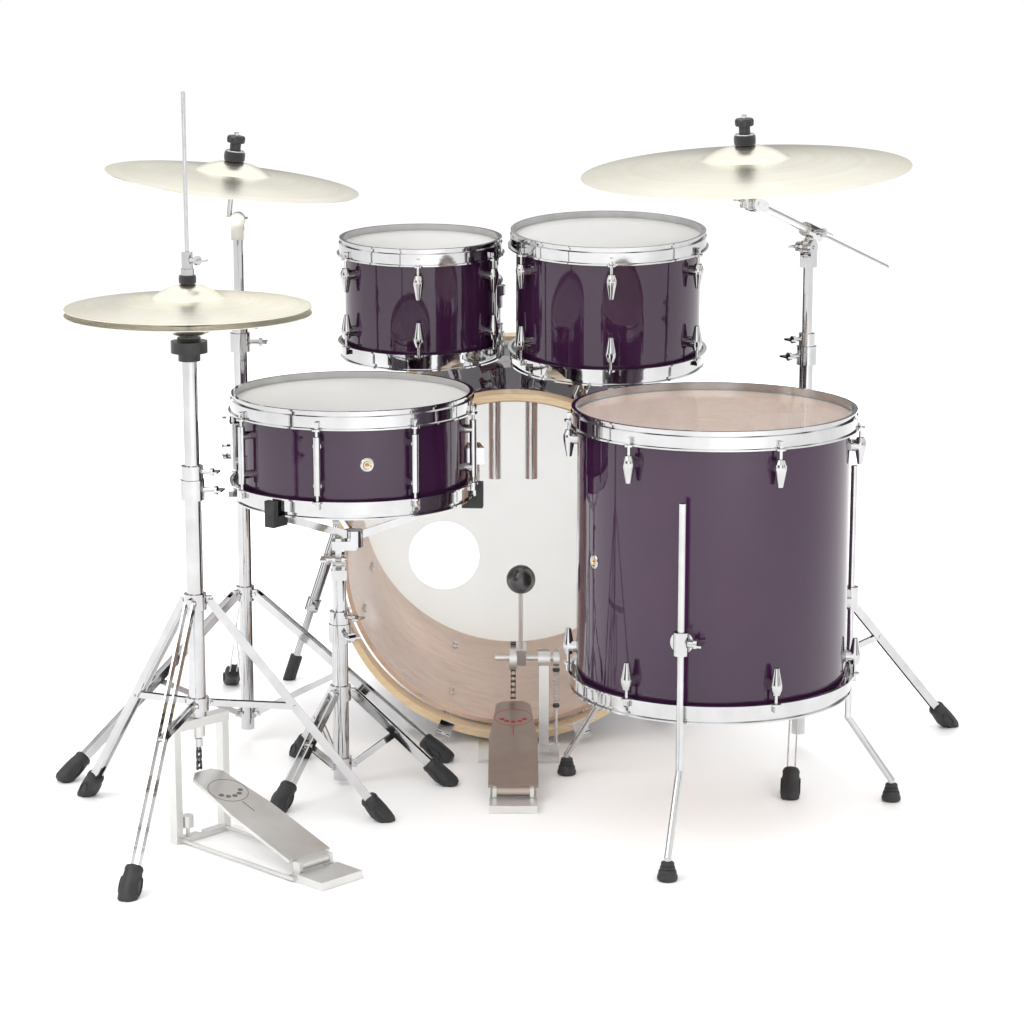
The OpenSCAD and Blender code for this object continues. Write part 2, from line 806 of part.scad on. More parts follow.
module strap_slot(r) {
    translate([-strap_w / 2 - apart, -r - strap_out - 1, -60])
        cube([strap_w + 2 * apart, 2, 26 + strap_up]);
}

module snare_strainer_lever() color("silver") at_snare() rotate(strainer_a)
    translate([0, -snare_d / 2 - lever_out, -4]) difference() {
        union() {
            translate([-lever_w / 2, 0, 0]) rotate([0, 90, 0]) cylinder(r = 5, h = lever_w);
            translate([-lever_w / 2, -2, 0]) cube([lever_w, 4, 46]);
            translate([-lever_w / 2 - 3, -4, 32]) cube([lever_w + 6, 7, 18]);
        }
        translate([-20, 0, 0]) rotate([0, 90, 0]) cylinder(r = 2.5 + slip, h = 40);
    }

// ---------------------------------------------------------------- stands
// Local frame of a stand: tube axis on Z, floor at z = 0.

function leg_top(tube_r, top_z) = [tube_r + 8, top_z];
function leg_end(leg_r) = [leg_r - 6, leg_end_z];

// One leg of two flat strips, its brace of two more and their rivets
module leg(tube_r, leg_r, top_z, low_z) {
    from = leg_top(tube_r, top_z);
    to = leg_end(leg_r);
    mid = (from + to) / 2;
    low = [tube_r + 8, low_z];
    for (side = [-1, 1]) {
        translate([side * leg_gap / 2, 0, 0]) strip(from, to, leg_w, leg_t);
        translate([side * (leg_gap / 2 - leg_t), 0, 0]) strip(low, mid, leg_w * 0.7, leg_t);
    }
    for (joint = [from, mid, low]) translate([0, -joint.x, joint.y]) rotate([0, 90, 0])
        cylinder(r = 3, h = leg_gap + 6, center = true);
    translate([-leg_gap / 2 + leg_t, -tube_r - 12, top_z - 7])
        cube([leg_gap - 2 * leg_t, 12, 14]);
    translate([-2, -tube_r - 12, low_z - 6]) cube([4, 12, 12]);
}

// Rubber foot that slips over the end of a leg and stands flat on the floor
module leg_foot(tube_r, leg_r, top_z) {
    from = leg_top(tube_r, top_z);
    to = leg_end(leg_r);
    pocket = [leg_gap + leg_t + 2 * seat, leg_w + 2 * seat, foot_len + seat];
    difference() {
        translate([0, -to.x, to.y]) rotate([atan2(to.x - from.x, to.y - from.y), 0, 0]) {
            difference() {
                translate([0, 0, -foot_len * 0.6]) cylinder(r = foot_r, h = foot_len);
                translate([-pocket.x / 2, -pocket.y / 2, -foot_len]) cube(pocket);
            }
        }
        translate([-50, -leg_r - 70, -60]) cube([100, 140, 60]);
    }
}

module tripod(tube_r, bore, leg_r, legs, lock_z, bottom_z, wing_a) {
    top_z = legs[0];
    low_z = legs[1];
    first = legs[2];
    color("silver") difference() {
        union() {
            translate([0, 0, bottom_z]) cylinder(r = tube_r, h = lock_z - bottom_z);
            translate([0, 0, lock_z - lock_h]) cylinder(r = tube_r + 5, h = lock_h);
            translate([0, 0, top_z - 12]) cylinder(r = tube_r + 4, h = 24);
            translate([0, 0, low_z - 10]) cylinder(r = tube_r + 4, h = 20);
            rotate(wing_a) translate([0, -tube_r - 3, lock_z - lock_h / 2]) wing(4, 22);
            around(3, first) leg(tube_r, leg_r, top_z, low_z);
        }
        translate([0, 0, bottom_z + 4]) cylinder(r = bore, h = lock_z);
        translate([0, 0, bottom_z - 1]) cylinder(r = pull_r + 1.5, h = 10);
    }
    color("black") around(3, first) leg_foot(tube_r, leg_r, top_z);
}

// Sliding tube with the memory lock that sits on the tripod's collar
module upper_tube(tube_r, lock_z, low_z, top_z, inner, wing_a) {
    difference() {
        union() {
            translate([0, 0, low_z]) cylinder(r = tube_r, h = top_z - low_z);
            translate([0, 0, lock_z + apart]) cylinder(r = tube_r + 5, h = 20);
            rotate(wing_a) translate([0, -tube_r - 3, lock_z + 12]) wing(3.5, 18);
        }
        translate([0, 0, low_z - 1]) cylinder(r = inner, h = top_z - low_z + 2);
    }
}

// Two cheeks and a bolt around the pivot, with the gear's space between them
module fork(root_from, root_size) {
    for (side = [-1, 1]) translate([side * (gear_w / 2 + apart + cheek_t / 2), 0, 0])
        rotate([0, 90, 0]) cylinder(r = gear_r, h = cheek_t, center = true);
    half = gear_w / 2 + apart + cheek_t;
    difference() {
        union() {
            translate(root_from) cube(root_size);
            for (side = [-1, 1]) translate([side > 0 ? gear_w / 2 + apart : -half, 0, 0])
                strip_to(root_from + root_size / 2, cheek_t);
        }
        translate([-gear_w / 2 - apart, 0, 0]) rotate([0, 90, 0])
            cylinder(r = gear_r + 1, h = gear_w + 2 * apart);
    }
    rotate([0, 90, 0]) cylinder(r = bolt_r, h = 2 * half + 4, center = true);
    translate([-half - 1, 0, 0]) rotate(-90) wing(5, 10);
}

module strip_to(to, t) {
    len = norm([to.y, to.z]);
    rotate([atan2(-to.y, to.z), 0, 0]) translate([0, -gear_r * 0.8, 0]) cube([t, gear_r * 1.6, len]);
}

// Ratchet disc between the cheeks of a fork
module gear() {
    rotate([0, 90, 0]) cylinder(r = gear_r, h = gear_w, center = true);
}

module gear_bore() {
    rotate([0, 90, 0]) cylinder(r = bolt_r + slip, h = 3 * gear_w, center = true);
}

// Height of a cymbal above its edge at radius r
function cymbal_z(r, big, s) =
    s[0] * (1 - pow(r / big, 2)) + (r < s[2] ? s[1] * (1 - pow(r / s[2], 2.2)) : 0);

module cymbal(d, s) {
    big = d / 2;
    bell = [for (i = [0 : 5]) cymbal_hole_r + (s[2] - cymbal_hole_r) * i / 5];
    bow = [for (i = [1 : 7]) s[2] + (big - s[2]) * i / 7];
    radii = concat(bell, bow);
    last = len(radii) - 1;
    rotate_extrude() polygon(concat(
        [for (r = radii) [r, cymbal_z(r, big, s)]],
        [for (i = [0 : last]) [radii[last - i], cymbal_z(radii[last - i], big, s) - cymbal_t]]
    ));
}

// Stem, felts and cap that hold a cymbal, on a ratchet disc
module tilter(turn, off, lean, rise, d, s) {
    hole_z = rise + s[0] + s[1];
    under = rise + cymbal_z(felt_r, d / 2, s) - cymbal_t - 2 * seat;
    color("silver") difference() {
        union() {
            rotate(turn) gear();
            rotate(turn) translate([-gear_w / 2, -off - 4, -5]) cube([gear_w, off + 4, 10]);
            rotate([lean.x, lean.y, 0]) rotate(turn) translate([0, -off, 0]) {
                translate([0, 0, -2]) cylinder(r = stem_r, h = under);
                translate([0, 0, under - felt_h - 5]) cylinder(r = 12, h = 5);
                translate([0, 0, under - felt_h - 3]) cylinder(r = sleeve_r, h = felt_h + 28);
                translate([0, 0, hole_z + 20]) cylinder(r = stem_r, h = 26);
            }
        }
        rotate(turn) gear_bore();
    }
    color("black") rotate([lean.x, lean.y, 0]) rotate(turn) translate([0, -off, 0]) {
        translate([0, 0, under - felt_h + seat]) ring(felt_r, sleeve_r + seat, felt_h - seat);
        translate([0, 0, hole_z + seat * 2]) ring(felt_r + 2, sleeve_r + seat, 15);
        translate([0, 0, hole_z + 24]) ring(9, stem_r + seat, 5);
        translate([0, 0, hole_z + 29 + seat]) ring(14, stem_r + seat, 11);
    }
}

module on_tilter(pivot, turn, off, lean, rise) {
    translate(pivot) rotate([lean.x, lean.y, 0]) rotate(turn) translate([0, -off, rise]) children();
}

// ---------------------------------------------------------------- snare stand

module snare_tripod() translate(snare_stand_at)
    tripod(base_r, base_bore, snare_leg_r, snare_legs, snare_lock_z, 8, 35);

module snare_upper_tube() color("silver") translate(snare_stand_at) {
    upper_tube(upper_r, snare_lock_z, 70, basket_pivot_z - 26, upper_r - tube_wall, 60);
    translate([0, 0, basket_pivot_z]) fork([-12, -11, -32], [24, 22, 16]);
}

module snare_basket() {
    r = snare_d / 2;
    hub = [snare_at.x - snare_stand_at.x, snare_at.y - snare_stand_at.y];
    arm_end = r - grip_in - 3;
    color("silver") {
        translate([snare_stand_at.x, snare_stand_at.y, basket_pivot_z]) difference() {
            union() {
                gear();
                translate([-gear_w / 2, -8, 0]) cube([gear_w, 16, basket_z - basket_pivot_z]);
                translate([-10, -10, gear_r + 4]) cube([hub.x + 14, 20 + hub.y, 14]);
            }
            gear_bore();
        }
        translate([snare_at.x, snare_at.y, basket_z - 14]) cylinder(r = 15, h = 26);
        translate([snare_at.x, snare_at.y, 0]) around(3, snare_arm_a)
            strip([8, basket_z + 4], [arm_end, snare_rim_z - 7], 12, 5);
    }
    color("black") translate([snare_at.x, snare_at.y, 0]) around(3, snare_arm_a) difference() {
        translate([-grip_w / 2, -r - grip_out, snare_rim_z - 16])
            cube([grip_w, grip_in + grip_out, 40]);
        translate([0, 0, snare_rim_z - seat]) cylinder(r = r + hoop_out + 0.7, h = 60);
    }
}

// ---------------------------------------------------------------- hi-hat

module hihat_tripod() translate(hat_at)
    tripod(base_r, base_bore, hat_leg_r, hat_legs, hat_lock_z, hat_frame_z - 3, 80);

// Upper tube with the tilting seat for the lower cymbal
module hihat_upper_tube() translate(hat_at) {
    color("silver") upper_tube(upper_r, hat_lock_z, 380, seat_top - 20, upper_r - tube_wall, 80);
    color("black") difference() {
        translate([0, 0, seat_top - 34]) union() {
            cylinder(r = 16, h = 12);
            translate([0, 0, 12]) cylinder(r = seat_r, h = 17 - seat);
        }
        translate([0, 0, seat_top - 36]) cylinder(r = upper_r + seat, h = 16 + seat);
        cylinder(r = 5, h = 1000);
    }
    color("dimgray") translate([0, 0, seat_top - 5]) ring(17, 5, 5);
}

module hihat_bottom_cymbal() color("khaki") translate(hat_at) translate([0, 0, hat_edge_z])
    mirror([0, 0, 1]) cymbal(hat_d, hat_shape);

module hihat_top_cymbal() color("khaki") translate(hat_at) translate([0, 0, hat_top_z])
    cymbal(hat_d, hat_shape);

// Pull rod with its lower coupling and the chain to the footboard
module hihat_pull_rod() translate(hat_at) {
    color("silver") translate([0, 0, chain_top_z]) cylinder(r = pull_r, h = pull_top - chain_top_z);
    color("silver") translate([0, 0, chain_top_z]) cylinder(r = 6, h = 12);
    color("black") rotate(hat_turn)
        translate([-4, -3, hat_chain_z]) cube([8, 6, chain_top_z - hat_chain_z - seat]);
}

// Clutch: sleeve through the upper cymbal, felts, nuts and a wing bolt
module hihat_clutch() translate(hat_at) {
    hole = hat_top_z + hat_rise;
    low = hat_top_z + cymbal_z(clutch_felt_r, hat_d / 2, hat_shape) - cymbal_t - 2 * seat;
    color("silver") difference() {
        union() {
            translate([0, 0, low - 12]) cylinder(r = 9, h = 7 - seat);
            translate([0, 0, low - 12]) cylinder(r = clutch_r, h = 60);
            translate([0, 0, hole + 14]) cylinder(r = 9.5, h = 9);
            translate([0, 0, hole + 24]) cylinder(r = 8, h = 24);
            rotate(60) translate([0, -5, hole + 36]) wing(4, 16);
        }
        translate([0, 0, low - 20]) cylinder(r = pull_r + slip, h = 100);
    }
    color("black") {
        translate([0, 0, low - 5]) ring(clutch_felt_r, clutch_r + seat, 5);
        translate([0, 0, hole + 2 * seat]) ring(12.5, clutch_r + seat, 13);
    }
}

module at_hat_pedal() {
    translate(hat_at) rotate(hat_turn) children();
}

// Heel plate with the two ears and the pin that carry a footboard
module heel_plate(y, len, w) {
    translate([-w / 2, y - len, 0]) cube([w, len - 10, 12]);
    translate([-w / 2, y - 12, 0]) cube([w, 20, 8]);
    for (side = [-1, 1]) translate([side * (ear_x + 3) - 3, y - 7, 4]) cube([6, 14, heel_z + 3]);
    translate([-ear_x - 6, y, heel_z]) rotate([0, 90, 0]) cylinder(r = hinge_r, h = 2 * ear_x + 12);
}

// Footboard plate that rises from its hinge towards the toe
module footboard(y, len, rise) {
    translate([0, y, heel_z]) rotate([rise, 0, 0]) difference() {
        union() {
            translate([0, 0, 2]) linear_extrude(board_t) polygon([
                [-board_w / 2, 9], [board_w / 2, 9], [board_w / 2, len * 0.55],
                [board_w * 0.36, len - 12], [board_w * 0.2, len],
                [-board_w * 0.2, len], [-board_w * 0.36, len - 12],
                [-board_w / 2, len * 0.55]
            ]);
            translate([-ear_x + apart, 0, 0]) rotate([0, 90, 0])
                cylinder(r = 7, h = 2 * (ear_x - apart));
            translate([-ear_x + apart, 0, 0]) cube([2 * (ear_x - apart), 14, 6]);
        }
        translate([-50, 0, 0]) rotate([0, 90, 0]) cylinder(r = hinge_r + slip, h = 100);
    }
}

module hihat_frame() color("silver") at_hat_pedal() {
    half = hat_frame_w / 2;
    difference() {
        union() {
            translate([-half - 6, -10, hat_frame_z - 18]) cube([hat_frame_w + 12, 20, 14]);
            for (side = [-1, 1]) translate([side * half - 6, -8, 0]) cube([12, 16, hat_frame_z - 6]);
            translate([-half, -10, 0]) cube([hat_frame_w, 14, 8]);
            translate([0, 0, hat_frame_z - 34]) cylinder(r = 10, h = 20);
        }
        cylinder(r = pull_r + 3.5, h = 400);
    }
    for (side = [-1, 1]) translate([side * (half - 4), -8, 5]) rotate([90, 0, 0])
        cylinder(r = 3, h = -hat_hinge_y - 2);
    translate([-half + 18, -4, 8]) cylinder(r = 3, h = 20);
    translate([-half + 18, -4, 22]) cylinder(r = 9, h = 18);
    heel_plate(hat_hinge_y, 62, board_w);
}

module hihat_footboard() color("lightgray") at_hat_pedal()
    footboard(hat_hinge_y, hat_board_len, hat_board_rise);

// ---------------------------------------------------------------- crash cymbal

module crash_tripod() translate(crash_at)
    tripod(cymbal_base_r, cymbal_tube_r + slip, crash_leg_r, crash_legs, crash_lock_z, tube_bottom, 90);

module crash_upper_tube() color("silver") translate(crash_at) {
    upper_tube(cymbal_tube_r, crash_lock_z, crash_lock_z - tube_in, crash_pivot_z - 24,
        cymbal_tube_r - tube_wall, 90);
    translate([0, 0, crash_pivot_z]) rotate(-90) fork(clamp_root, clamp_root_size);
}

module crash_tilter() translate(crash_pivot)
    tilter(-90, crash_off, crash_lean, crash_rise, crash_d, crash_shape);

module crash_cymbal() color("khaki")
    on_tilter(crash_pivot, -90, crash_off, crash_lean, crash_rise) cymbal(crash_d, crash_shape);

// ---------------------------------------------------------------- ride cymbal

module at_boom() {
    translate([ride_at.x, ride_at.y, boom_pivot_z]) rotate(boom_turn) rotate([-boom_rise, 0, 0])
        children();
}

module ride_tripod() translate(ride_at)
    tripod(cymbal_base_r, cymbal_tube_r + slip, ride_leg_r, ride_legs, ride_lock_z, tube_bottom, -60);

module ride_upper_tube() color("silver") translate(ride_at) {
    upper_tube(cymbal_tube_r, ride_lock_z, ride_lock_z - tube_in, boom_pivot_z - 24,
        cymbal_tube_r - tube_wall, -60);
    translate([0, 0, boom_pivot_z]) rotate(boom_turn) fork(clamp_root, clamp_root_size);
}

// Ratchet disc with the barrel that the boom arm slides through
module ride_boom_clamp() color("silver") at_boom() difference() {
    union() {
        gear();
        translate([-gear_w / 2, -10, 0]) cube([gear_w, 20, boom_up]);
        translate([0, 22, boom_up]) rotate([90, 0, 0]) cylinder(r = boom_d / 2 + 5, h = 44);
        translate([boom_d / 2 + 2, 0, boom_up]) rotate(90) wing(4.5, 16);
    }
    gear_bore();
    translate([0, 40, boom_up]) rotate([90, 0, 0]) cylinder(r = boom_d / 2 + slip, h = 80);
}

module ride_boom_arm() color("silver") at_boom() translate([0, -boom_front, boom_up]) {
    translate([0, 18, 0]) rotate([-90, 0, 0]) cylinder(r = boom_d / 2, h = boom_len - 18);
    fork([-10, 15, -8], [20, 14, 16]);
}

module ride_tilter() translate(ride_pivot)
    tilter(boom_turn, ride_off, ride_lean, ride_rise, ride_d, ride_shape);

module ride_cymbal() color("khaki")
    on_tilter(ride_pivot, boom_turn, ride_off, ride_lean, ride_rise) cymbal(ride_d, ride_shape);

// ---------------------------------------------------------------- bass pedal

module at_pedal() {
    translate([pedal_x, 0, 0]) children();
}

// Base plate, heel plate, post, hoop clamp and return spring
module pedal_base() at_pedal() {
    jaw_z = plate_t + bass_hoop_t + 3;
    color("silver") {
        difference() {
            union() {
                translate([-36, hinge_y - 10, 0]) cube([72, axle_y - hinge_y, plate_t]);
                translate([-57, axle_y - 55, 0]) cube([132, 60, plate_t]);
                translate([-57, axle_y - 20, 0]) cube([114, bass_y - axle_y + 58, plate_t]);
                translate([post_x - 8, axle_y - 10, 0]) cube([16, 20, axle_z]);
                translate([post_x - 10, axle_y, axle_z]) rotate([0, 90, 0]) cylinder(r = 15, h = 20);
                translate([post_x, spring_y - 6, 12]) cube([spring_x - post_x + 6, 12, 6]);
                translate([-15, bass_y - 14, 0]) cube([30, 13, jaw_z + 9]);
                translate([-15, bass_y - 14, jaw_z]) cube([30, 14 + bass_hoop_w - 6, 9]);
            }
            translate([post_x - 30, axle_y, axle_z]) rotate([0, 90, 0])
                cylinder(r = axle_r + slip, h = 60);
        }
        heel_plate(hinge_y, heel_len, board_w - 4);
        translate([spring_x, spring_y, 12 + 6 + seat]) cylinder(r = 2.5, h = 60);
    }
    color("silver") translate([spring_x, spring_y, 80]) cylinder(r = 6, h = axle_z - 80 - cam_r - 2);
}

// Footboard with its toe bracket and the chain that rises to the sprocket
module pedal_footboard() at_pedal() {
    color("lightgray") footboard(hinge_y, board_len, board_rise);
    color("black") translate([-4, chain_y - 3, toe_z + 12]) cube([8, 6, axle_z - toe_z - 12]);
}

// Axle with sprocket, spring cam, beater clamp, shaft and beater
module pedal_beater() at_pedal() translate([0, axle_y, axle_z]) {
    color("silver") {
        translate([-30, 0, 0]) rotate([0, 90, 0]) cylinder(r = axle_r, h = spring_x + 36);
        translate([-6, 0, 0]) rotate([0, 90, 0]) cylinder(r = hub_r, h = 12);
        translate([spring_x - 5, 0, 0]) rotate([0, 90, 0]) cylinder(r = cam_r, h = 10);
        rotate([beater_back, 0, 0]) {
            translate([beater_x - 7, -9, -10]) cube([16, 18, 40]);
            translate([beater_x, 0, 0]) cylinder(r = 3.5, h = beater_len - 6);
        }
    }
    color("black") rotate([beater_back, 0, 0]) translate([beater_x, 0, beater_len]) difference() {
        sphere(r = beater_d / 2);
        translate([0, 0, -beater_d]) cylinder(r = 3.5 + seat, h = beater_d - 6 + seat);
    }
}

bass_shell();
bass_heads();
bass_hoops();
bass_lugs();
bass_claws();
bass_brackets();
spur_left();
spur_right();
high_tom_post();
high_tom_tilter();
high_tom_arm();
high_tom_shell();
high_tom_heads();
high_tom_hoops();
high_tom_lugs();
mid_tom_post();
mid_tom_tilter();
mid_tom_arm();
mid_tom_shell();
mid_tom_heads();
mid_tom_hoops();
mid_tom_lugs();
floor_tom_shell();
floor_tom_heads();
floor_tom_hoops();
floor_tom_lugs();
floor_tom_leg_1();
floor_tom_leg_2();
floor_tom_leg_3();
snare_shell();
snare_heads();
snare_hoops();
snare_lugs();
snare_wires();
snare_strainer();
snare_strainer_lever();
snare_tripod();
snare_upper_tube();
snare_basket();
hihat_tripod();
hihat_upper_tube();
hihat_pull_rod();
hihat_clutch();
hihat_top_cymbal();
hihat_bottom_cymbal();
hihat_frame();
hihat_footboard();
crash_tripod();
crash_upper_tube();
crash_tilter();
crash_cymbal();
ride_tripod();
ride_upper_tube();
ride_boom_clamp();
ride_boom_arm();
ride_tilter();
ride_cymbal();
pedal_base();
pedal_footboard();
pedal_beater();
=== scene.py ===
import json
import math

import bmesh
import bpy
from mathutils import Matrix, Vector

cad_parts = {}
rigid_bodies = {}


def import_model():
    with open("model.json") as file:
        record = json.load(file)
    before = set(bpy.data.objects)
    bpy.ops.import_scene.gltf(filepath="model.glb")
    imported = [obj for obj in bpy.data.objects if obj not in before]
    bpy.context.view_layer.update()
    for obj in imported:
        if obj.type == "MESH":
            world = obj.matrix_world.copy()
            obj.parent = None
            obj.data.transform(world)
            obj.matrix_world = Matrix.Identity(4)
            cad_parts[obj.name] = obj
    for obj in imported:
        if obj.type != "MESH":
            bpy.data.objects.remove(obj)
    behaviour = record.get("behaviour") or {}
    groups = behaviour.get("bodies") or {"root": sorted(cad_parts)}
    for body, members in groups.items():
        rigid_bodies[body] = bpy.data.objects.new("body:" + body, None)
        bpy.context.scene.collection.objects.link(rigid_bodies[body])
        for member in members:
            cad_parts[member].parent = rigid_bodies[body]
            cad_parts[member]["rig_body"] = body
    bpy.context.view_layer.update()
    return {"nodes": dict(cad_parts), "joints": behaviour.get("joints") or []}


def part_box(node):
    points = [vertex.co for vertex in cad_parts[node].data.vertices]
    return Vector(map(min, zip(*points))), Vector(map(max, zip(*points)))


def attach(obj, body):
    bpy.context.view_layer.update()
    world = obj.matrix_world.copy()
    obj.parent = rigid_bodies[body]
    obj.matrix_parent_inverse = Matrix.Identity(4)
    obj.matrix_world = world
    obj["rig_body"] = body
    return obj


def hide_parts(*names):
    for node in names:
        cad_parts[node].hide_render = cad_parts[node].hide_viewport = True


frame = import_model()
nodes = frame["nodes"]
joints = {j["name"]: j for j in frame["joints"]}

# Sizes in metres, the same as the CAD design's
INCH = 0.0254
SHELL_WALL = 0.0075
# A cymbal's shape: height of its bow, height of its bell and the bell's radius
HAT_SHAPE = (0.014, 0.019, 0.052)
CRASH_SHAPE = (0.015, 0.017, 0.060)
RIDE_SHAPE = (0.020, 0.019, 0.068)
CYMBAL_T = 0.0015
HOLE_R = 0.006
FELT_R = 0.015
HAT_GAP = 0.010
HAT_TURN = 46
BASS_TILT = 2
# Each tripod: its hub's x and y, then leg reach, root radius, root height and the first leg's turn
TRIPODS = {
    "snare": ((-0.286, -0.1115), 0.160, 0.0207, 0.150, -32),
    "hihat": ((-0.482, -0.369), 0.275, 0.0207, 0.362, -15),
    "crash": ((-0.456, 0.128), 0.340, 0.0191, 0.252, -50),
    "ride": ((0.458, 0.101), 0.280, 0.0191, 0.322, -8),
}
BOOT_INSET = 0.006
BOOT_Z = 0.020
FLOOR_TOM_AT = (0.284, -0.275)
FLOOR_TOM_TURN = -15
LEG_BRACKET = 0.022
LEG_SPLAY = 0.075
LUG_SCREW_Z = 0.095
SCREW_GAP = 0.011
CHAIN_R = 0.004
SPRING_LOW = 0.086
SPRING_HIGH = 0.142
COILS = 12
COIL_STEPS = 14
FLOOR_SIZE = 14
# Profiles of (radius, height) of a tripod's boot and of a floor tom leg's tip
BOOT = [(0, -0.0345), (0.0085, -0.0345), (0.0125, -0.0325), (0.0144, -0.028),
        (0.0149, -0.020), (0.0148, -0.006), (0.0141, 0.006), (0.0130, 0.0145),
        (0.0130, 0.0152), (0.0135, 0.0158), (0.0135, 0.0195), (0.0128, 0.0205),
        (0.0118, 0.0226), (0.0104, 0.0232), (0, 0.0232)]
TIP = [(0, 0.0272), (0.0082, 0.0272), (0.0094, 0.0262), (0.0098, 0.0245),
       (0.0098, 0.0225), (0.0090, 0.0218), (0.0104, 0.0208), (0.0110, 0.0195),
       (0.0110, 0.0178), (0.0101, 0.0170), (0.0118, 0.0158), (0.0128, 0.0140),
       (0.0134, 0.0115), (0.0136, 0.0085), (0.0146, 0.0070), (0.0150, 0.0050),
       (0.0149, 0.0022), (0.0136, 0.0003), (0, 0.0003)]
PEDAL_X = -0.014
AXLE_Y = 0.053
AXLE_Z = 0.162
HUB_R = 0.020
TOE_Z = 0.0867
HINGE_Y = -0.215976
HEEL_Z = 0.020
PEDAL_RISE = 10.5
SPRING_X = 0.070
SPRING_Y = 0.045
HAT_CHAIN_Z = 0.106
CHAIN_TOP = 0.140
HAT_HINGE_Y = -0.250152
HAT_RISE = 17.5
HIGH_TILT = 2.5
MID_TILT = 4.5


# ---------------------------------------------------------------- node helpers

def new_material(name, color, metallic=0.0, roughness=0.4, **sockets):
    """A Principled material, with plain numbers set on its own sockets."""
    made = bpy.data.materials.new(name)
    made.use_nodes = True
    shader = made.node_tree.nodes["Principled BSDF"]
    shader.inputs["Base Color"].default_value = (*color, 1)
    shader.inputs["Metallic"].default_value = metallic
    shader.inputs["Roughness"].default_value = roughness
    for socket, value in sockets.items():
        shader.inputs[socket.replace("_", " ")].default_value = value
    return made, made.node_tree, shader


def coords(tree, scale=(1, 1, 1)):
    """Object coordinates in metres, stretched by scale."""
    source = tree.nodes.new("ShaderNodeTexCoord")
    mapping = tree.nodes.new("ShaderNodeMapping")
    mapping.inputs["Scale"].default_value = scale
    tree.links.new(source.outputs["Object"], mapping.inputs["Vector"])
    return mapping.outputs["Vector"]


def noise(tree, vector, scale, detail=3.0, rough=0.55):
    node = tree.nodes.new("ShaderNodeTexNoise")
    node.inputs["Scale"].default_value = scale
    node.inputs["Detail"].default_value = detail
    node.inputs["Roughness"].default_value = rough
    tree.links.new(vector, node.inputs["Vector"])
    return node.outputs["Fac"]


def ramp(tree, fac, stops):
    node = tree.nodes.new("ShaderNodeValToRGB")
    line = node.color_ramp
    while len(line.elements) < len(stops):
        line.elements.new(0.5)
    for element, (place, color) in zip(line.elements, stops):
        element.position = place
        element.color = (*color, 1)
    tree.links.new(fac, node.inputs["Fac"])
    return node.outputs["Color"]


def span(tree, fac, low, high):
    """Maps 0..1 to low..high."""
    node = tree.nodes.new("ShaderNodeMapRange")
    node.inputs["To Min"].default_value = low
    node.inputs["To Max"].default_value = high
    tree.links.new(fac, node.inputs["Value"])
    return node.outputs["Result"]


def bump(tree, shader, height, distance, strength, socket="Normal"):
    node = tree.nodes.new("ShaderNodeBump")
    node.inputs["Distance"].default_value = distance
    node.inputs["Strength"].default_value = strength
    tree.links.new(height, node.inputs["Height"])
    tree.links.new(node.outputs["Normal"], shader.inputs[socket])


def math_node(tree, kind, a, b=None):
    node = tree.nodes.new("ShaderNodeMath")
    node.operation = kind
    for socket, value in zip(node.inputs, (a, b)):
        if value is None:
            continue
        if isinstance(value, (int, float)):
            socket.default_value = value
        else:
            tree.links.new(value, socket)
    return node.outputs["Value"]


def mix_colors(tree, kind, one, two, factor=1.0):
    node = tree.nodes.new("ShaderNodeMix")
    node.data_type = "RGBA"
    node.blend_type = kind
    node.inputs["Factor"].default_value = factor
    tree.links.new(one, node.inputs[6])
    tree.links.new(two, node.inputs[7])
    return node.outputs[2]


def shade(color, factor):
    return tuple(c * factor for c in color)


# ---------------------------------------------------------------- materials

def chrome_material():
    made, tree, shader = new_material("chrome", (0.56, 0.56, 0.57), 1.0, 0.05)
    place = coords(tree)
    smudge = noise(tree, place, 28, 4)
    color = ramp(tree, smudge, [(0.3, (0.52, 0.515, 0.515)), (0.7, (0.60, 0.60, 0.61))])
    tree.links.new(color, shader.inputs["Base Color"])
    tree.links.new(span(tree, smudge, 0.03, 0.08), shader.inputs["Roughness"])
    bump(tree, shader, noise(tree, place, 90, 2), 0.0002, 0.12)
    return made


def steel_material():
    made, tree, shader = new_material("drawn_steel", (0.62, 0.62, 0.63), 1.0, 0.22)
    draw = noise(tree, coords(tree, (1, 1, 0.06)), 900, 3)
    color = ramp(tree, draw, [(0.3, (0.55, 0.55, 0.56)), (0.7, (0.70, 0.70, 0.71))])
    tree.links.new(color, shader.inputs["Base Color"])
    tree.links.new(span(tree, draw, 0.16, 0.3), shader.inputs["Roughness"])
    return made


def satin_material(name, color, roughness=0.34):
    """Cast aluminium with a fine sprayed satin grain."""
    made, tree, shader = new_material(name, color, 0.85, roughness)
    place = coords(tree)
    broad = noise(tree, place, 14, 3)
    grain = noise(tree, place, 1500, 2)
    tone = ramp(tree, broad, [(0.3, shade(color, 0.92)), (0.7, shade(color, 1.06))])
    tree.links.new(tone, shader.inputs["Base Color"])
    tree.links.new(span(tree, grain, roughness - 0.06, roughness + 0.1), shader.inputs["Roughness"])
    bump(tree, shader, grain, 0.00006, 0.5)
    return made


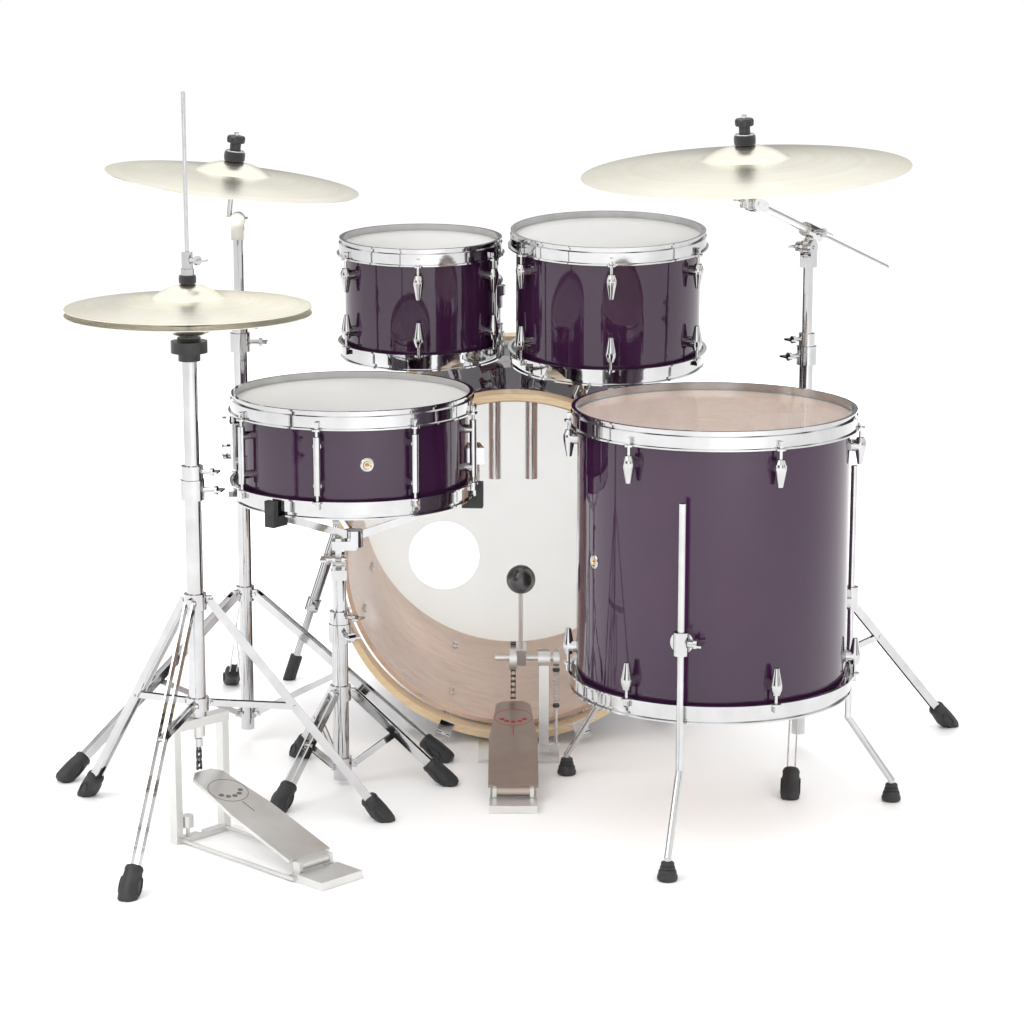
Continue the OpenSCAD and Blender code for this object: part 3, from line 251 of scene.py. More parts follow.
def lacquer_material():
    """Deep plum lacquer: a dark base with a slight flake under a wet clear coat."""
    made, tree, shader = new_material("plum_lacquer", (0.030, 0.008, 0.030), 0.0, 0.5,
                                      Specular_IOR_Level=0.0, Coat_Weight=1.0,
                                      Coat_Roughness=0.025, Coat_IOR=1.55)
    place = coords(tree)
    cloud = noise(tree, place, 5, 4)
    flake = noise(tree, place, 2600, 1)
    base = ramp(tree, cloud, [(0.25, (0.026, 0.007, 0.027)), (0.75, (0.038, 0.011, 0.038))])
    sparkle = ramp(tree, flake, [(0.55, (0, 0, 0)), (0.8, (0.016, 0.006, 0.017))])
    tree.links.new(mix_colors(tree, "ADD", base, sparkle), shader.inputs["Base Color"])
    bump(tree, shader, noise(tree, place, 160, 2), 0.0003, 0.05, "Coat Normal")
    return made


def wood_material(name, light, dark, grain_axis, gloss):
    """Wood with long grain along grain_axis, pores and a clear coat."""
    made, tree, shader = new_material(name, light, 0.0, 0.42,
                                      Coat_Weight=gloss, Coat_Roughness=0.08)
    stretch = [22, 22, 22]
    stretch[grain_axis] = 1.6
    place = coords(tree, stretch)
    figure = noise(tree, place, 2.4, 6, 0.62)
    pores = noise(tree, coords(tree, [12 * s for s in stretch]), 2.0, 3)
    color = ramp(tree, figure, [(0.28, dark), (0.5, light), (0.72, shade(light, 1.1))])
    pore_tone = ramp(tree, pores, [(0.35, (0.80, 0.76, 0.72)), (0.5, (1, 1, 1))])
    grained = mix_colors(tree, "MULTIPLY", color, pore_tone, 0.6)
    tree.links.new(grained, shader.inputs["Base Color"])
    bump(tree, shader, pores, 0.0002, 0.2)
    return made


def cymbal_material():
    """Polished pale bronze with lathe grooves that run round the axis."""
    made, tree, shader = new_material("cymbal_bronze", (0.89, 0.86, 0.74), 1.0, 0.3, Anisotropic=0.55)
    source = tree.nodes.new("ShaderNodeTexCoord")
    split = tree.nodes.new("ShaderNodeSeparateXYZ")
    tree.links.new(source.outputs["Object"], split.inputs["Vector"])
    square = [math_node(tree, "MULTIPLY", split.outputs[i], split.outputs[i]) for i in range(2)]
    radius = math_node(tree, "SQRT", math_node(tree, "ADD", *square))
    ring = tree.nodes.new("ShaderNodeCombineXYZ")
    tree.links.new(radius, ring.inputs["X"])
    groove = noise(tree, ring.outputs["Vector"], 620, 4, 0.7)
    bands = noise(tree, ring.outputs["Vector"], 60, 2)
    cloud = noise(tree, coords(tree), 9, 3)
    both = math_node(tree, "MULTIPLY", bands, cloud)
    color = ramp(tree, both, [(0.1, (0.84, 0.80, 0.66)), (0.28, (0.89, 0.86, 0.74)),
                              (0.45, (0.93, 0.91, 0.82))])
    tree.links.new(color, shader.inputs["Base Color"])
    tree.links.new(span(tree, groove, 0.2, 0.38), shader.inputs["Roughness"])
    round_axis = tree.nodes.new("ShaderNodeTangent")
    round_axis.direction_type = "RADIAL"
    round_axis.axis = "Z"
    tree.links.new(round_axis.outputs["Tangent"], shader.inputs["Tangent"])
    bump(tree, shader, groove, 0.00012, 0.35)
    return made


def coated_head_material():
    """White film with the sprayed, slightly gritty coating of a drum head."""
    made, tree, shader = new_material("coated_head", (0.90, 0.90, 0.89), 0.0, 0.5,
                                      Coat_Weight=0.25, Coat_Roughness=0.3)
    place = coords(tree)
    cloud = noise(tree, place, 7, 4)
    grit = noise(tree, place, 1100, 2)
    color = ramp(tree, cloud, [(0.3, (0.86, 0.86, 0.85)), (0.7, (0.93, 0.93, 0.915))])
    tree.links.new(color, shader.inputs["Base Color"])
    tree.links.new(span(tree, grit, 0.4, 0.62), shader.inputs["Roughness"])
    bump(tree, shader, grit, 0.00008, 0.4)
    through = tree.nodes.new("ShaderNodeBsdfTranslucent")
    through.inputs["Color"].default_value = (0.93, 0.96, 0.97, 1)
    mixed = tree.nodes.new("ShaderNodeMixShader")
    mixed.inputs[0].default_value = 0.55
    tree.links.new(shader.outputs[0], mixed.inputs[1])
    tree.links.new(through.outputs[0], mixed.inputs[2])
    tree.links.new(mixed.outputs[0], tree.nodes["Material Output"].inputs["Surface"])
    return made


def clear_head_material(name, low, high):
    """Thin clear polyester film: mostly seen through, with a glossy face and faint haze."""
    made, tree, shader = new_material(name, (0.92, 0.92, 0.91), 0.0, 0.05, Specular_IOR_Level=0.9)
    haze = noise(tree, coords(tree), 12, 3)
    tree.links.new(span(tree, haze, low, high), shader.inputs["Alpha"])
    tree.links.new(span(tree, haze, 0.03, 0.08), shader.inputs["Roughness"])
    return made


def rubber_material():
    made, tree, shader = new_material("black_rubber", (0.018, 0.018, 0.019), 0.0, 0.55)
    place = coords(tree)
    dust = noise(tree, place, 60, 5)
    grain = noise(tree, place, 1400, 2)
    color = ramp(tree, dust, [(0.35, (0.013, 0.013, 0.014)), (0.75, (0.032, 0.032, 0.034))])
    tree.links.new(color, shader.inputs["Base Color"])
    tree.links.new(span(tree, dust, 0.42, 0.68), shader.inputs["Roughness"])
    bump(tree, shader, grain, 0.0001, 0.35)
    return made


def plastic_material():
    made, tree, shader = new_material("black_plastic", (0.02, 0.02, 0.021), 0.0, 0.3)
    place = coords(tree)
    mould = noise(tree, place, 700, 2)
    broad = noise(tree, place, 30, 3)
    tone = ramp(tree, broad, [(0.3, (0.016, 0.016, 0.017)), (0.7, (0.028, 0.028, 0.03))])
    tree.links.new(tone, shader.inputs["Base Color"])
    tree.links.new(span(tree, mould, 0.22, 0.4), shader.inputs["Roughness"])
    bump(tree, shader, mould, 0.00008, 0.25)
    return made


def felt_material():
    """Pressed black wool felt: deep, matt and fuzzy."""
    made, tree, shader = new_material("black_felt", (0.015, 0.015, 0.016), 0.0, 0.95,
                                      Sheen_Weight=0.35, Sheen_Roughness=0.5)
    place = coords(tree)
    fibre = noise(tree, place, 950, 5, 0.7)
    color = ramp(tree, fibre, [(0.3, (0.008, 0.008, 0.009)), (0.75, (0.035, 0.035, 0.037))])
    tree.links.new(color, shader.inputs["Base Color"])
    bump(tree, shader, fibre, 0.0006, 0.8)
    return made


def paint_material(name, color):
    """Printed enamel, with a slightly worn face."""
    made, tree, shader = new_material(name, color, 0.0, 0.4)
    wear = noise(tree, coords(tree), 220, 4)
    tone = ramp(tree, wear, [(0.3, shade(color, 0.8)), (0.7, shade(color, 1.1))])
    tree.links.new(tone, shader.inputs["Base Color"])
    tree.links.new(span(tree, wear, 0.3, 0.55), shader.inputs["Roughness"])
    return made


def gold_material():
    made, tree, shader = new_material("gold_plate", (0.83, 0.62, 0.28), 1.0, 0.18)
    worn = noise(tree, coords(tree), 120, 4)
    tone = ramp(tree, worn, [(0.3, (0.72, 0.52, 0.22)), (0.7, (0.88, 0.68, 0.34))])
    tree.links.new(tone, shader.inputs["Base Color"])
    tree.links.new(span(tree, worn, 0.1, 0.28), shader.inputs["Roughness"])
    return made


def gloss_material():
    """Polished black lacquer on the beater's ball."""
    made, tree, shader = new_material("beater_lacquer", (0.012, 0.012, 0.013), 0.0, 0.3,
                                      Coat_Weight=1.0, Coat_Roughness=0.05)
    scuff = noise(tree, coords(tree), 90, 5)
    tone = ramp(tree, scuff, [(0.3, (0.009, 0.009, 0.010)), (0.75, (0.022, 0.022, 0.023))])
    tree.links.new(tone, shader.inputs["Base Color"])
    tree.links.new(span(tree, scuff, 0.2, 0.45), shader.inputs["Roughness"])
    return made


def black_steel_material():
    """Blackened chain steel with brighter rubbed patches."""
    made, tree, shader = new_material("chain_steel", (0.06, 0.06, 0.062), 1.0, 0.35)
    rub = noise(tree, coords(tree), 260, 4)
    tone = ramp(tree, rub, [(0.35, (0.035, 0.035, 0.037)), (0.75, (0.20, 0.20, 0.205))])
    tree.links.new(tone, shader.inputs["Base Color"])
    tree.links.new(span(tree, rub, 0.25, 0.5), shader.inputs["Roughness"])
    return made


CHROME = chrome_material()
STEEL = steel_material()
SATIN = satin_material("satin_aluminium", (0.70, 0.695, 0.68))
BOARD = satin_material("satin_footboard", (0.42, 0.35, 0.31), 0.34)
BOOM = satin_material("satin_boom_tube", (0.76, 0.77, 0.77), 0.3)
LACQUER = lacquer_material()
INSIDE_WOOD = wood_material("shell_inside_wood", (0.66, 0.43, 0.29), (0.54, 0.32, 0.21), 0, 0.5)
MAPLE = wood_material("maple_hoop", (0.74, 0.56, 0.34), (0.62, 0.44, 0.25), 0, 0.9)
BRONZE = cymbal_material()
COATED = coated_head_material()
CLEAR = clear_head_material("clear_head", 0.05, 0.10)
HAZY = clear_head_material("hazy_clear_head", 0.2, 0.34)
RUBBER = rubber_material()
PLASTIC = plastic_material()
FELT = felt_material()
RED = paint_material("red_enamel", (0.45, 0.012, 0.014))
GREY_INK = paint_material("grey_enamel", (0.13, 0.13, 0.14))
GOLD = gold_material()
GLOSS = gloss_material()
BLACK_STEEL = black_steel_material()


# ---------------------------------------------------------------- mesh helpers

def finish_mesh(name, bm, mats, body, matrix=None, sharp=35):
    """Turns bm into a piece that rides on a body, smooth except at edges over sharp degrees."""
    mesh = bpy.data.meshes.new(name)
    bmesh.ops.recalc_face_normals(bm, faces=bm.faces)
    for face in bm.faces:
        face.smooth = True
    limit = math.radians(sharp)
    for edge in bm.edges:
        if len(edge.link_faces) == 2 and edge.calc_face_angle() > limit:
            edge.smooth = False
    bm.to_mesh(mesh)
    bm.free()
    piece = bpy.data.objects.new(name, mesh)
    for mat in mats:
        mesh.materials.append(mat)
    bpy.context.scene.collection.objects.link(piece)
    if matrix is not None:
        piece.matrix_world = matrix
    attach(piece, body)
    return piece


def islands(bm):
    """The closed shells of a mesh, as lists of faces."""
    seen = set()
    groups = []
    for start in bm.faces:
        if start in seen:
            continue
        seen.add(start)
        group = [start]
        for face in group:
            for edge in face.edges:
                for other in edge.link_faces:
                    if other not in seen:
                        seen.add(other)
                        group.append(other)
        groups.append(group)
    return groups


def extent(faces):
    places = [v.co for f in faces for v in f.verts]
    low = Vector([min(p[i] for p in places) for i in range(3)])
    high = Vector([max(p[i] for p in places) for i in range(3)])
    return (low + high) / 2, high - low


def dress(node, mats, pick, pick_face=None):
    """Stands a finished copy of a CAD node in its place. pick gives each solid's material index,
    or None to leave it out, from its centre and size; pick_face may then choose for each face."""
    source = nodes[node]
    bm = bmesh.new()
    bm.from_mesh(source.data)
    bmesh.ops.remove_doubles(bm, verts=bm.verts, dist=1e-6)
    gone = []
    for group in islands(bm):
        centre, size = extent(group)
        index = pick(centre, size)
        if index is None:
            gone += group
            continue
        for face in group:
            face.material_index = index
            if pick_face:
                face.material_index = pick_face(face, index)
    bmesh.ops.delete(bm, geom=gone, context="FACES")
    piece = finish_mesh(node + "_finish", bm, mats, source["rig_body"])
    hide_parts(node)


def lathe(name, profile, mats, body, matrix=None, segments=64, closed=True, sharp=35):
    """Turns a profile of (radius, height) points round the local Z axis."""
    bm = bmesh.new()
    rings = []
    for r, z in profile:
        if r < 1e-6:
            rings.append([bm.verts.new((0, 0, z))])
            continue
        turn = [2 * math.pi * i / segments for i in range(segments)]
        rings.append([bm.verts.new((r * math.cos(a), r * math.sin(a), z)) for a in turn])
    pairs = list(zip(rings, rings[1:]))
    if closed:
        pairs.append((rings[-1], rings[0]))
    for one, two in pairs:
        for i in range(segments):
            j = (i + 1) % segments
            corners = [one[i % len(one)], one[j % len(one)], two[j % len(two)], two[i % len(two)]]
            kept = list(dict.fromkeys(corners))
            if len(kept) > 2:
                bm.faces.new(kept)
    return finish_mesh(name, bm, mats, body, matrix, sharp)


def soft_ring(r_in, r_out, low, high, soft, bulge=0.0):
    """Closed profile of a washer or felt with rounded outer edges and a bulged side."""
    points = [(r_in, low), (r_out - soft, low)]
    for i in range(1, 5):
        a = math.pi / 2 * i / 5
        points.append((r_out - soft + soft * math.sin(a), low + soft - soft * math.cos(a)))
    middle = (low + high) / 2
    points.append((r_out, low + soft))
    points.append((r_out + bulge, middle))
    points.append((r_out, high - soft))
    for i in range(1, 5):
        a = math.pi / 2 * i / 5
        points.append((r_out - soft + soft * math.cos(a), high - soft + soft * math.sin(a)))
    points += [(r_out - soft, high), (r_in, high)]
    return points


def sweep(name, path, radius, mats, body, matrix=None, sides=12, closed=False):
    """A round tube along path; radius is a number or a function of the step."""
    points = [Vector(p) for p in path]
    count = len(points)
    bm = bmesh.new()
    rings = []
    side = None
    for i, p in enumerate(points):
        before = points[i - 1] if i or closed else p
        after = points[(i + 1) % count] if i < count - 1 or closed else p
        along = (after - before).normalized()
        if side is None:
            side = along.orthogonal().normalized()
        side = (side - along * side.dot(along)).normalized()
        up = along.cross(side)
        r = radius(i) if callable(radius) else radius
        ring = []
        for k in range(sides):
            a = 2 * math.pi * k / sides
            ring.append(bm.verts.new(p + r * (math.cos(a) * side + math.sin(a) * up)))
        rings.append(ring)
    pairs = list(zip(rings, rings[1:]))
    if closed:
        pairs.append((rings[-1], rings[0]))
    for one, two in pairs:
        for k in range(sides):
            n = (k + 1) % sides
            bm.faces.new((one[k], one[n], two[n], two[k]))
    if not closed:
        bm.faces.new(rings[0])
        bm.faces.new(rings[-1])
    return finish_mesh(name, bm, mats, body, matrix, 50)


def slab(name, outline, low, high, mats, body, matrix, round_edge=0.0, sharp=35):
    """A flat plate from an outline in local XY, with its edges rounded."""
    bm = bmesh.new()
    face = bm.faces.new([bm.verts.new((x, y, low)) for x, y in outline])
    out = bmesh.ops.extrude_face_region(bm, geom=[face])
    moved = [g for g in out["geom"] if isinstance(g, bmesh.types.BMVert)]
    bmesh.ops.translate(bm, verts=moved, vec=(0, 0, high - low))
    if round_edge:
        bmesh.ops.recalc_face_normals(bm, faces=bm.faces)
        rims = [e for e in bm.edges if len(e.link_faces) == 2 and e.calc_face_angle() > 0.6]
        bmesh.ops.bevel(bm, geom=rims, offset=round_edge, segments=3, affect="EDGES", profile=0.5)
    return finish_mesh(name, bm, mats, body, matrix, sharp)


def oval(cx, cy, rx, ry, count=40):
    turn = [2 * math.pi * i / count for i in range(count)]
    return [(cx + rx * math.cos(a), cy + ry * math.sin(a)) for a in turn]


def oval_band(name, cx, cy, rx, ry, width, low, high, mats, body, matrix):
    """A thin raised band that follows an oval."""
    bm = bmesh.new()
    loops = []
    for grow, z in ((0, low), (0, high), (-width, high), (-width, low)):
        loops.append([bm.verts.new((x, y, z)) for x, y in oval(cx, cy, rx + grow, ry + grow, 64)])
    for one, two in zip(loops, loops[1:] + loops[:1]):
        for i in range(64):
            j = (i + 1) % 64
            bm.faces.new((one[i], one[j], two[j], two[i]))
    return finish_mesh(name, bm, mats, body, matrix)


def at(point, *turns):
    """A matrix at a point, turned by (degrees, axis) pairs, the last one nearest the piece."""
    made = Matrix.Translation(point)
    for degrees, axis in turns:
        made = made @ Matrix.Rotation(math.radians(degrees), 4, axis)
    return made


def axis_frame(joint):
    """A frame at a joint with its Z axis along the joint's axis."""
    axis = Vector(joints[joint]["axis"])
    turn = Vector((0, 0, 1)).rotation_difference(axis).to_matrix().to_4x4()
    return Matrix.Translation(joints[joint]["pos_m"]) @ turn


def everything(index):
    return lambda centre, size: index


# ---------------------------------------------------------------- drums

def axis_point(node):
    low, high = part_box(node)
    return (low + high) / 2


def drum_frame(node, tilt):
    """A frame at a drum's centre, its Z axis along the drum's."""
    return at(axis_point(node), (tilt, "X"))


def shell_faces(frame_of, radius):
    """Lacquer on the outside of a shell, bare wood inside and on its edges."""
    inverse = frame_of.inverted()

    def pick(face, index):
        place = inverse @ face.calc_center_median()
        return 1 if math.hypot(place.x, place.y) < radius - 0.001 else 0
    return pick


def grommet(name, frame_of, radius, turn, body):
    """Vent ring on a shell: a silver collar round a gold throat."""
    place = frame_of @ at((0, 0, 0), (turn, "Z"), (90, "X")) @ Matrix.Translation((0, 0, radius))
    collar = [(0.0048, -0.0006), (0.0105, -0.0006), (0.0108, 0.0002), (0.0100, 0.0012),
              (0.0085, 0.0017), (0.0070, 0.0015), (0.0058, 0.0009), (0.0048, 0.0002)]
    lathe(name, collar, [CHROME], body, place, 40)
    throat = [(0.0028, -0.004), (0.0048, -0.004), (0.0048, 0.0011), (0.0036, 0.0011),
              (0.0028, 0.0004)]
    lathe(name + "_throat", throat, [GOLD], body, place, 32)


def round_drum(name, inches, tilt, body, head_mats, vent):
    frame_of = drum_frame(name + "_shell", tilt)
    radius = inches * INCH / 2
    dress(name + "_shell", [LACQUER, INSIDE_WOOD], everything(0), shell_faces(frame_of, radius))
    middle = axis_point(name + "_heads").z
    dress(name + "_heads", head_mats, lambda centre, size: 0 if centre.z > middle else 1)
    dress(name + "_hoops", [CHROME], everything(0))
    dress(name + "_lugs", [CHROME], everything(0))
    grommet(name + "_vent", frame_of, radius, vent, body)


def small_screws(name, frame_of, radius, spots, body):
    """Pan-head lug screws on the inside of a shell, at (turn, height) spots."""
    head = [(0, 0.0032), (0.0022, 0.0030), (0.0040, 0.0018), (0.0045, 0), (0, 0)]
    inward = Matrix.Translation((0, 0, -radius))
    for i, (turn, height) in enumerate(spots):
        place = frame_of @ at((0, 0, height), (turn, "Z"), (-90, "X")) @ inward
        lathe(f"{name}_{i + 1}", head, [STEEL], body, place, 20, closed=False)


def make_drums():
    round_drum("high_tom", 10, HIGH_TILT, "high_tom", [COATED, CLEAR], 210)
    round_drum("mid_tom", 12, MID_TILT, "mid_tom", [COATED, CLEAR], 150)
    round_drum("floor_tom", 16, 0, "kit", [HAZY, CLEAR], -62)
    round_drum("snare", 14, 0, "snare", [COATED, CLEAR], 10)
    make_bass()


def make_bass():
    frame_of = drum_frame("bass_shell", 90 + BASS_TILT)
    depth = 18 * INCH
    radius = 11 * INCH
    dress("bass_shell", [LACQUER, INSIDE_WOOD], everything(0), shell_faces(frame_of, radius))
    middle = axis_point("bass_heads").y
    dress("bass_heads", [CLEAR, COATED], lambda centre, size: 0 if centre.y < middle else 1)
    dress("bass_hoops", [MAPLE], everything(0))
    dress("bass_lugs", [CHROME], everything(0))
    dress("bass_claws", [CHROME], everything(0))
    dress("bass_brackets", [CHROME], everything(0))
    spots = []
    for i in range(8):
        turn = 22.5 + 45 * i
        for shift in (-SCREW_GAP, SCREW_GAP):
            height = depth / 2 - LUG_SCREW_Z + shift
            spots += [(turn, height), (turn, -height)]
    small_screws("bass_screw", frame_of, radius - SHELL_WALL - 0.0003, spots, "kit")
    for side in ("left", "right"):
        node = "spur_" + side
        dress(node, [CHROME, RUBBER], lambda centre, size: 1 if centre.z < 0.05 else 0)


# ---------------------------------------------------------------- cymbals

def cymbal_height(r, big, shape):
    bow, bell, bell_r = shape
    up = bow * (1 - (r / big) ** 2)
    if r < bell_r:
        up += bell * (1 - (r / bell_r) ** 2.2)
    return up


def cymbal(name, node, inches, shape, place, body):
    """A thin spun cymbal whose metal tapers towards its edge."""
    big = inches * INCH / 2
    bell = [HOLE_R + (shape[2] - HOLE_R) * i / 22 for i in range(23)]
    bow = [shape[2] + (big - shape[2]) * i / 40 for i in range(1, 41)]
    radii = bell + bow
    top = [(r, cymbal_height(r, big, shape)) for r in radii]
    thin = [(r, z - CYMBAL_T * (1 - 0.35 * r / big)) for r, z in top]
    piece = lathe(name, top + thin[::-1], [BRONZE], body, place, 160, sharp=60)
    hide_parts(node)


def cymbal_felts(name, place, big, shape, body):
    """Lower felt, upper felt, waist and the black cap nut of a stand's stem."""
    hole = shape[0] + shape[1]
    under = cymbal_height(FELT_R, big, shape) - CYMBAL_T
    lower = soft_ring(0.0057, 0.0150, under - 0.009, under - 0.0003, 0.002, 0.0004)
    upper = soft_ring(0.0057, 0.0166, hole + 0.0005, hole + 0.0152, 0.002, 0.0004)
    washer = soft_ring(0.0045, 0.0150, hole + 0.0154, hole + 0.0172, 0.0005)
    waist = soft_ring(0.0045, 0.0088, hole + 0.0173, hole + 0.0295, 0.0008)
    lathe(name + "_lower_felt", lower, [FELT], body, place)
    lathe(name + "_upper_felt", upper, [FELT], body, place)
    lathe(name + "_washer", washer, [STEEL], body, place)
    lathe(name + "_waist", waist, [PLASTIC], body, place)
    cap = [(0.0045, hole + 0.0295), (0.0138, hole + 0.0295), (0.0142, hole + 0.031),
           (0.0142, hole + 0.0385), (0.0128, hole + 0.0405), (0.0045, hole + 0.0408)]
    lathe(name + "_cap", cap, [PLASTIC], body, place)
    rib = [(-0.0004, -0.0012), (0.0008, -0.0007), (0.0008, 0.0007), (-0.0004, 0.0012)]
    for i in range(10):
        spot = place @ at((0, 0, hole + 0.0345), (36 * i, "Z")) @ Matrix.Translation((0.0137, 0, 0))
        slab(f"{name}_cap_rib_{i + 1}", rib, -0.0032, 0.0032, [PLASTIC], body, spot)


def ratchet(name, place, radius, width, body):
    """Toothed ring of a tilter's disc, with its axis on local X."""
    bm = bmesh.new()
    teeth = 28
    loops = []
    for half in (-width / 2, width / 2):
        loops.append([])
        for i in range(2 * teeth):
            a = math.pi * i / teeth
            r = radius if i % 2 else radius - 0.0009
            loops[-1].append(bm.verts.new((half, r * math.cos(a), r * math.sin(a))))
        bm.faces.new(loops[-1])
    for i in range(2 * teeth):
        j = (i + 1) % (2 * teeth)
        bm.faces.new((loops[0][i], loops[0][j], loops[1][j], loops[1][i]))
    finish_mesh(name, bm, [CHROME], body, place, 20)


def make_cymbals():
    hat = Vector((*joints["hihat_top_spin"]["pos_m"][:2], 0))
    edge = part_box("hihat_bottom_cymbal")[1].z
    lower = at(hat + Vector((0, 0, edge)), (180, "X"))
    upper = at(hat + Vector((0, 0, edge + HAT_GAP)))
    cymbal("hihat_bottom_bronze", "hihat_bottom_cymbal", 14, HAT_SHAPE, lower, "hihat_bottom_cymbal")
    cymbal("hihat_top_bronze", "hihat_top_cymbal", 14, HAT_SHAPE, upper, "hihat_top_cymbal")
    for name, inches, shape in (("crash", 16, CRASH_SHAPE), ("ride", 20, RIDE_SHAPE)):
        place = axis_frame(name + "_spin")
        cymbal(name + "_bronze", name + "_cymbal", inches, shape, place, name + "_cymbal")
        cymbal_felts(name, place, inches * INCH / 2, shape, name + "_tilter")
        dress(name + "_tilter", [CHROME], lambda centre, size: 0 if max(size) > 0.07 else None)


# ---------------------------------------------------------------- stands

def boot(name, place, profile, body):
    """A moulded rubber foot, flat where it meets the floor."""
    piece = lathe(name, profile, [RUBBER], body, place, 40, closed=False)
    inverse = place.inverted()
    for v in piece.data.vertices:
        spot = place @ v.co
        if spot.z < 0.0003:
            spot.z = 0.0003
            v.co = inverse @ spot
    return piece


def leg_boots(name, hub, leg_r, root_r, top, first):
    """Boots on a tripod's legs, in line with each leg, with an oval mark on their two sides."""
    for i in range(3):
        frame_of = at(hub, (first + 120 * i, "Z"))
        start = Vector((0, -root_r, top))
        end = Vector((0, BOOT_INSET - leg_r, BOOT_Z))
        lean = math.degrees(math.atan2(end.y - start.y, start.z - end.z))
        place = frame_of @ at(end, (lean, "X"))
        boot(f"{name}_boot_{i + 1}", place, BOOT, "kit")
        for letter, side in (("a", -1), ("b", 1)):
            mark = place @ at((0, 0, -0.006), (90 * side, "Y")) @ Matrix.Translation((0, 0, 0.0142))
            oval_band(f"{name}_boot_mark_{i + 1}{letter}", 0, 0, 0.0135, 0.0068, 0.0016,
                      -0.0012, 0.0013, [RUBBER], "kit", mark)


def make_stands():
    for name, (hub, leg_r, root_r, top, first) in TRIPODS.items():
        dress(name + "_tripod", [CHROME],
              lambda centre, size: None if max(size) < 0.1 and centre.z < 0.06 else 0)
        leg_boots(name, Vector((*hub, 0)), leg_r, root_r, top, first)
    for name in ("snare_upper_tube", "crash_upper_tube", "ride_upper_tube", "ride_boom_clamp",
                 "high_tom_post", "mid_tom_post", "high_tom_tilter", "mid_tom_tilter",
                 "high_tom_arm", "mid_tom_arm", "snare_strainer", "snare_strainer_lever"):
        dress(name, [CHROME], everything(0))
    dress("ride_boom_arm", [BOOM], everything(0))
    for joint, body in (("crash_tilt", "crash_tilter"), ("ride_tilt", "ride_tilter"),
                        ("ride_boom_tilt", "ride_boom_clamp"), ("snare_tilt", "snare")):
        disc = axis_frame(joint) @ Matrix.Rotation(math.radians(90), 4, "Y")
        ratchet(joint + "_ratchet", disc, 0.0127, 0.0086, body)
    dress("snare_basket", [CHROME, RUBBER], lambda centre, size: 0 if max(size) > 0.1 else 1)
    for i in (1, 2, 3):
        node = f"floor_tom_leg_{i}"
        dress(node, [CHROME], lambda centre, size: 0 if max(size) > 0.1 else None)
        turn = math.radians(FLOOR_TOM_TURN + 120 * (i - 1))
        reach = 8 * INCH + LEG_BRACKET + LEG_SPLAY
        x, y = FLOOR_TOM_AT
        foot = Vector((x + reach * math.sin(turn), y - reach * math.cos(turn), 0))
        boot(node + "_tip", at(foot), TIP, node)
    dress("snare_wires", [STEEL], everything(0))


# ---------------------------------------------------------------- hi-hat and pedals

def close_prism(bm, loops):
    """Faces between two equal loops, and one over each end."""
    count = len(loops[0])
    bm.faces.new(loops[0])
    bm.faces.new(loops[1])
    for k in range(count):
        n = (k + 1) % count
        bm.faces.new((loops[0][k], loops[0][n], loops[1][n], loops[1][k]))


def chain(name, points, body, matrix):
    """Roller chain along points in a plane of constant local X, with its pins along X."""
    bm = bmesh.new()
    points = [Vector(p) for p in points]
    for i, (one, two) in enumerate(zip(points, points[1:])):
        along = (two - one).normalized()
        up = Vector((1, 0, 0)).cross(along)
        length = (two - one).length
        gap = 0.0022 if i % 2 else 0.0031
        for side in (-1, 1):
            loops = []
            for x in (side * gap, side * (gap + 0.0008)):
                loop = []
                for k in range(20):
                    a = 2 * math.pi * k / 20
                    reach = length / 2 if math.cos(a) > 0 else -length / 2
                    waist = 0.0031 - 0.0007 * abs(math.sin(a)) ** 6
                    forward = along * (reach + waist * math.cos(a))
                    spot = (one + two) / 2 + forward + up * (waist * math.sin(a))
                    loop.append(bm.verts.new(spot + Vector((x, 0, 0))))
                loops.append(loop)
            close_prism(bm, loops)
    pin_r = 0.0019
    turn = [math.pi * k / 8 for k in range(16)]
    for p in points:
        loops = []
        for x in (-0.0042, 0.0042):
            rim = [Vector((x, pin_r * math.cos(a), pin_r * math.sin(a))) for a in turn]
            loops.append([bm.verts.new(p + spot) for spot in rim])
        close_prism(bm, loops)
    finish_mesh(name, bm, [BLACK_STEEL], body, matrix, 30)


def board_print(name, length, ink, line, body, board):
    """Printed oval, a fan of dots on its heel side and a centre line on a footboard's face."""
    face, top = 0.0069, 0.0072
    middle = length - 0.060
    oval_band(name + "_ring", 0, middle, 0.031, 0.030, 0.0008, face, top, [line], body, board)
    for i in range(5):
        a = math.radians(-150 + 30 * i)
        spot = oval(0.021 * math.cos(a), middle + 0.003 + 0.019 * math.sin(a), 0.0044, 0.0038, 24)
        slab(f"{name}_dot_{i + 1}", spot, face, top, [ink], body, board)
    bar = [(-0.0006, middle - 0.062), (0.0006, middle - 0.062),
           (0.0006, middle - 0.033), (-0.0006, middle - 0.033)]
    slab(name + "_line", bar, face, top, [line], body, board)


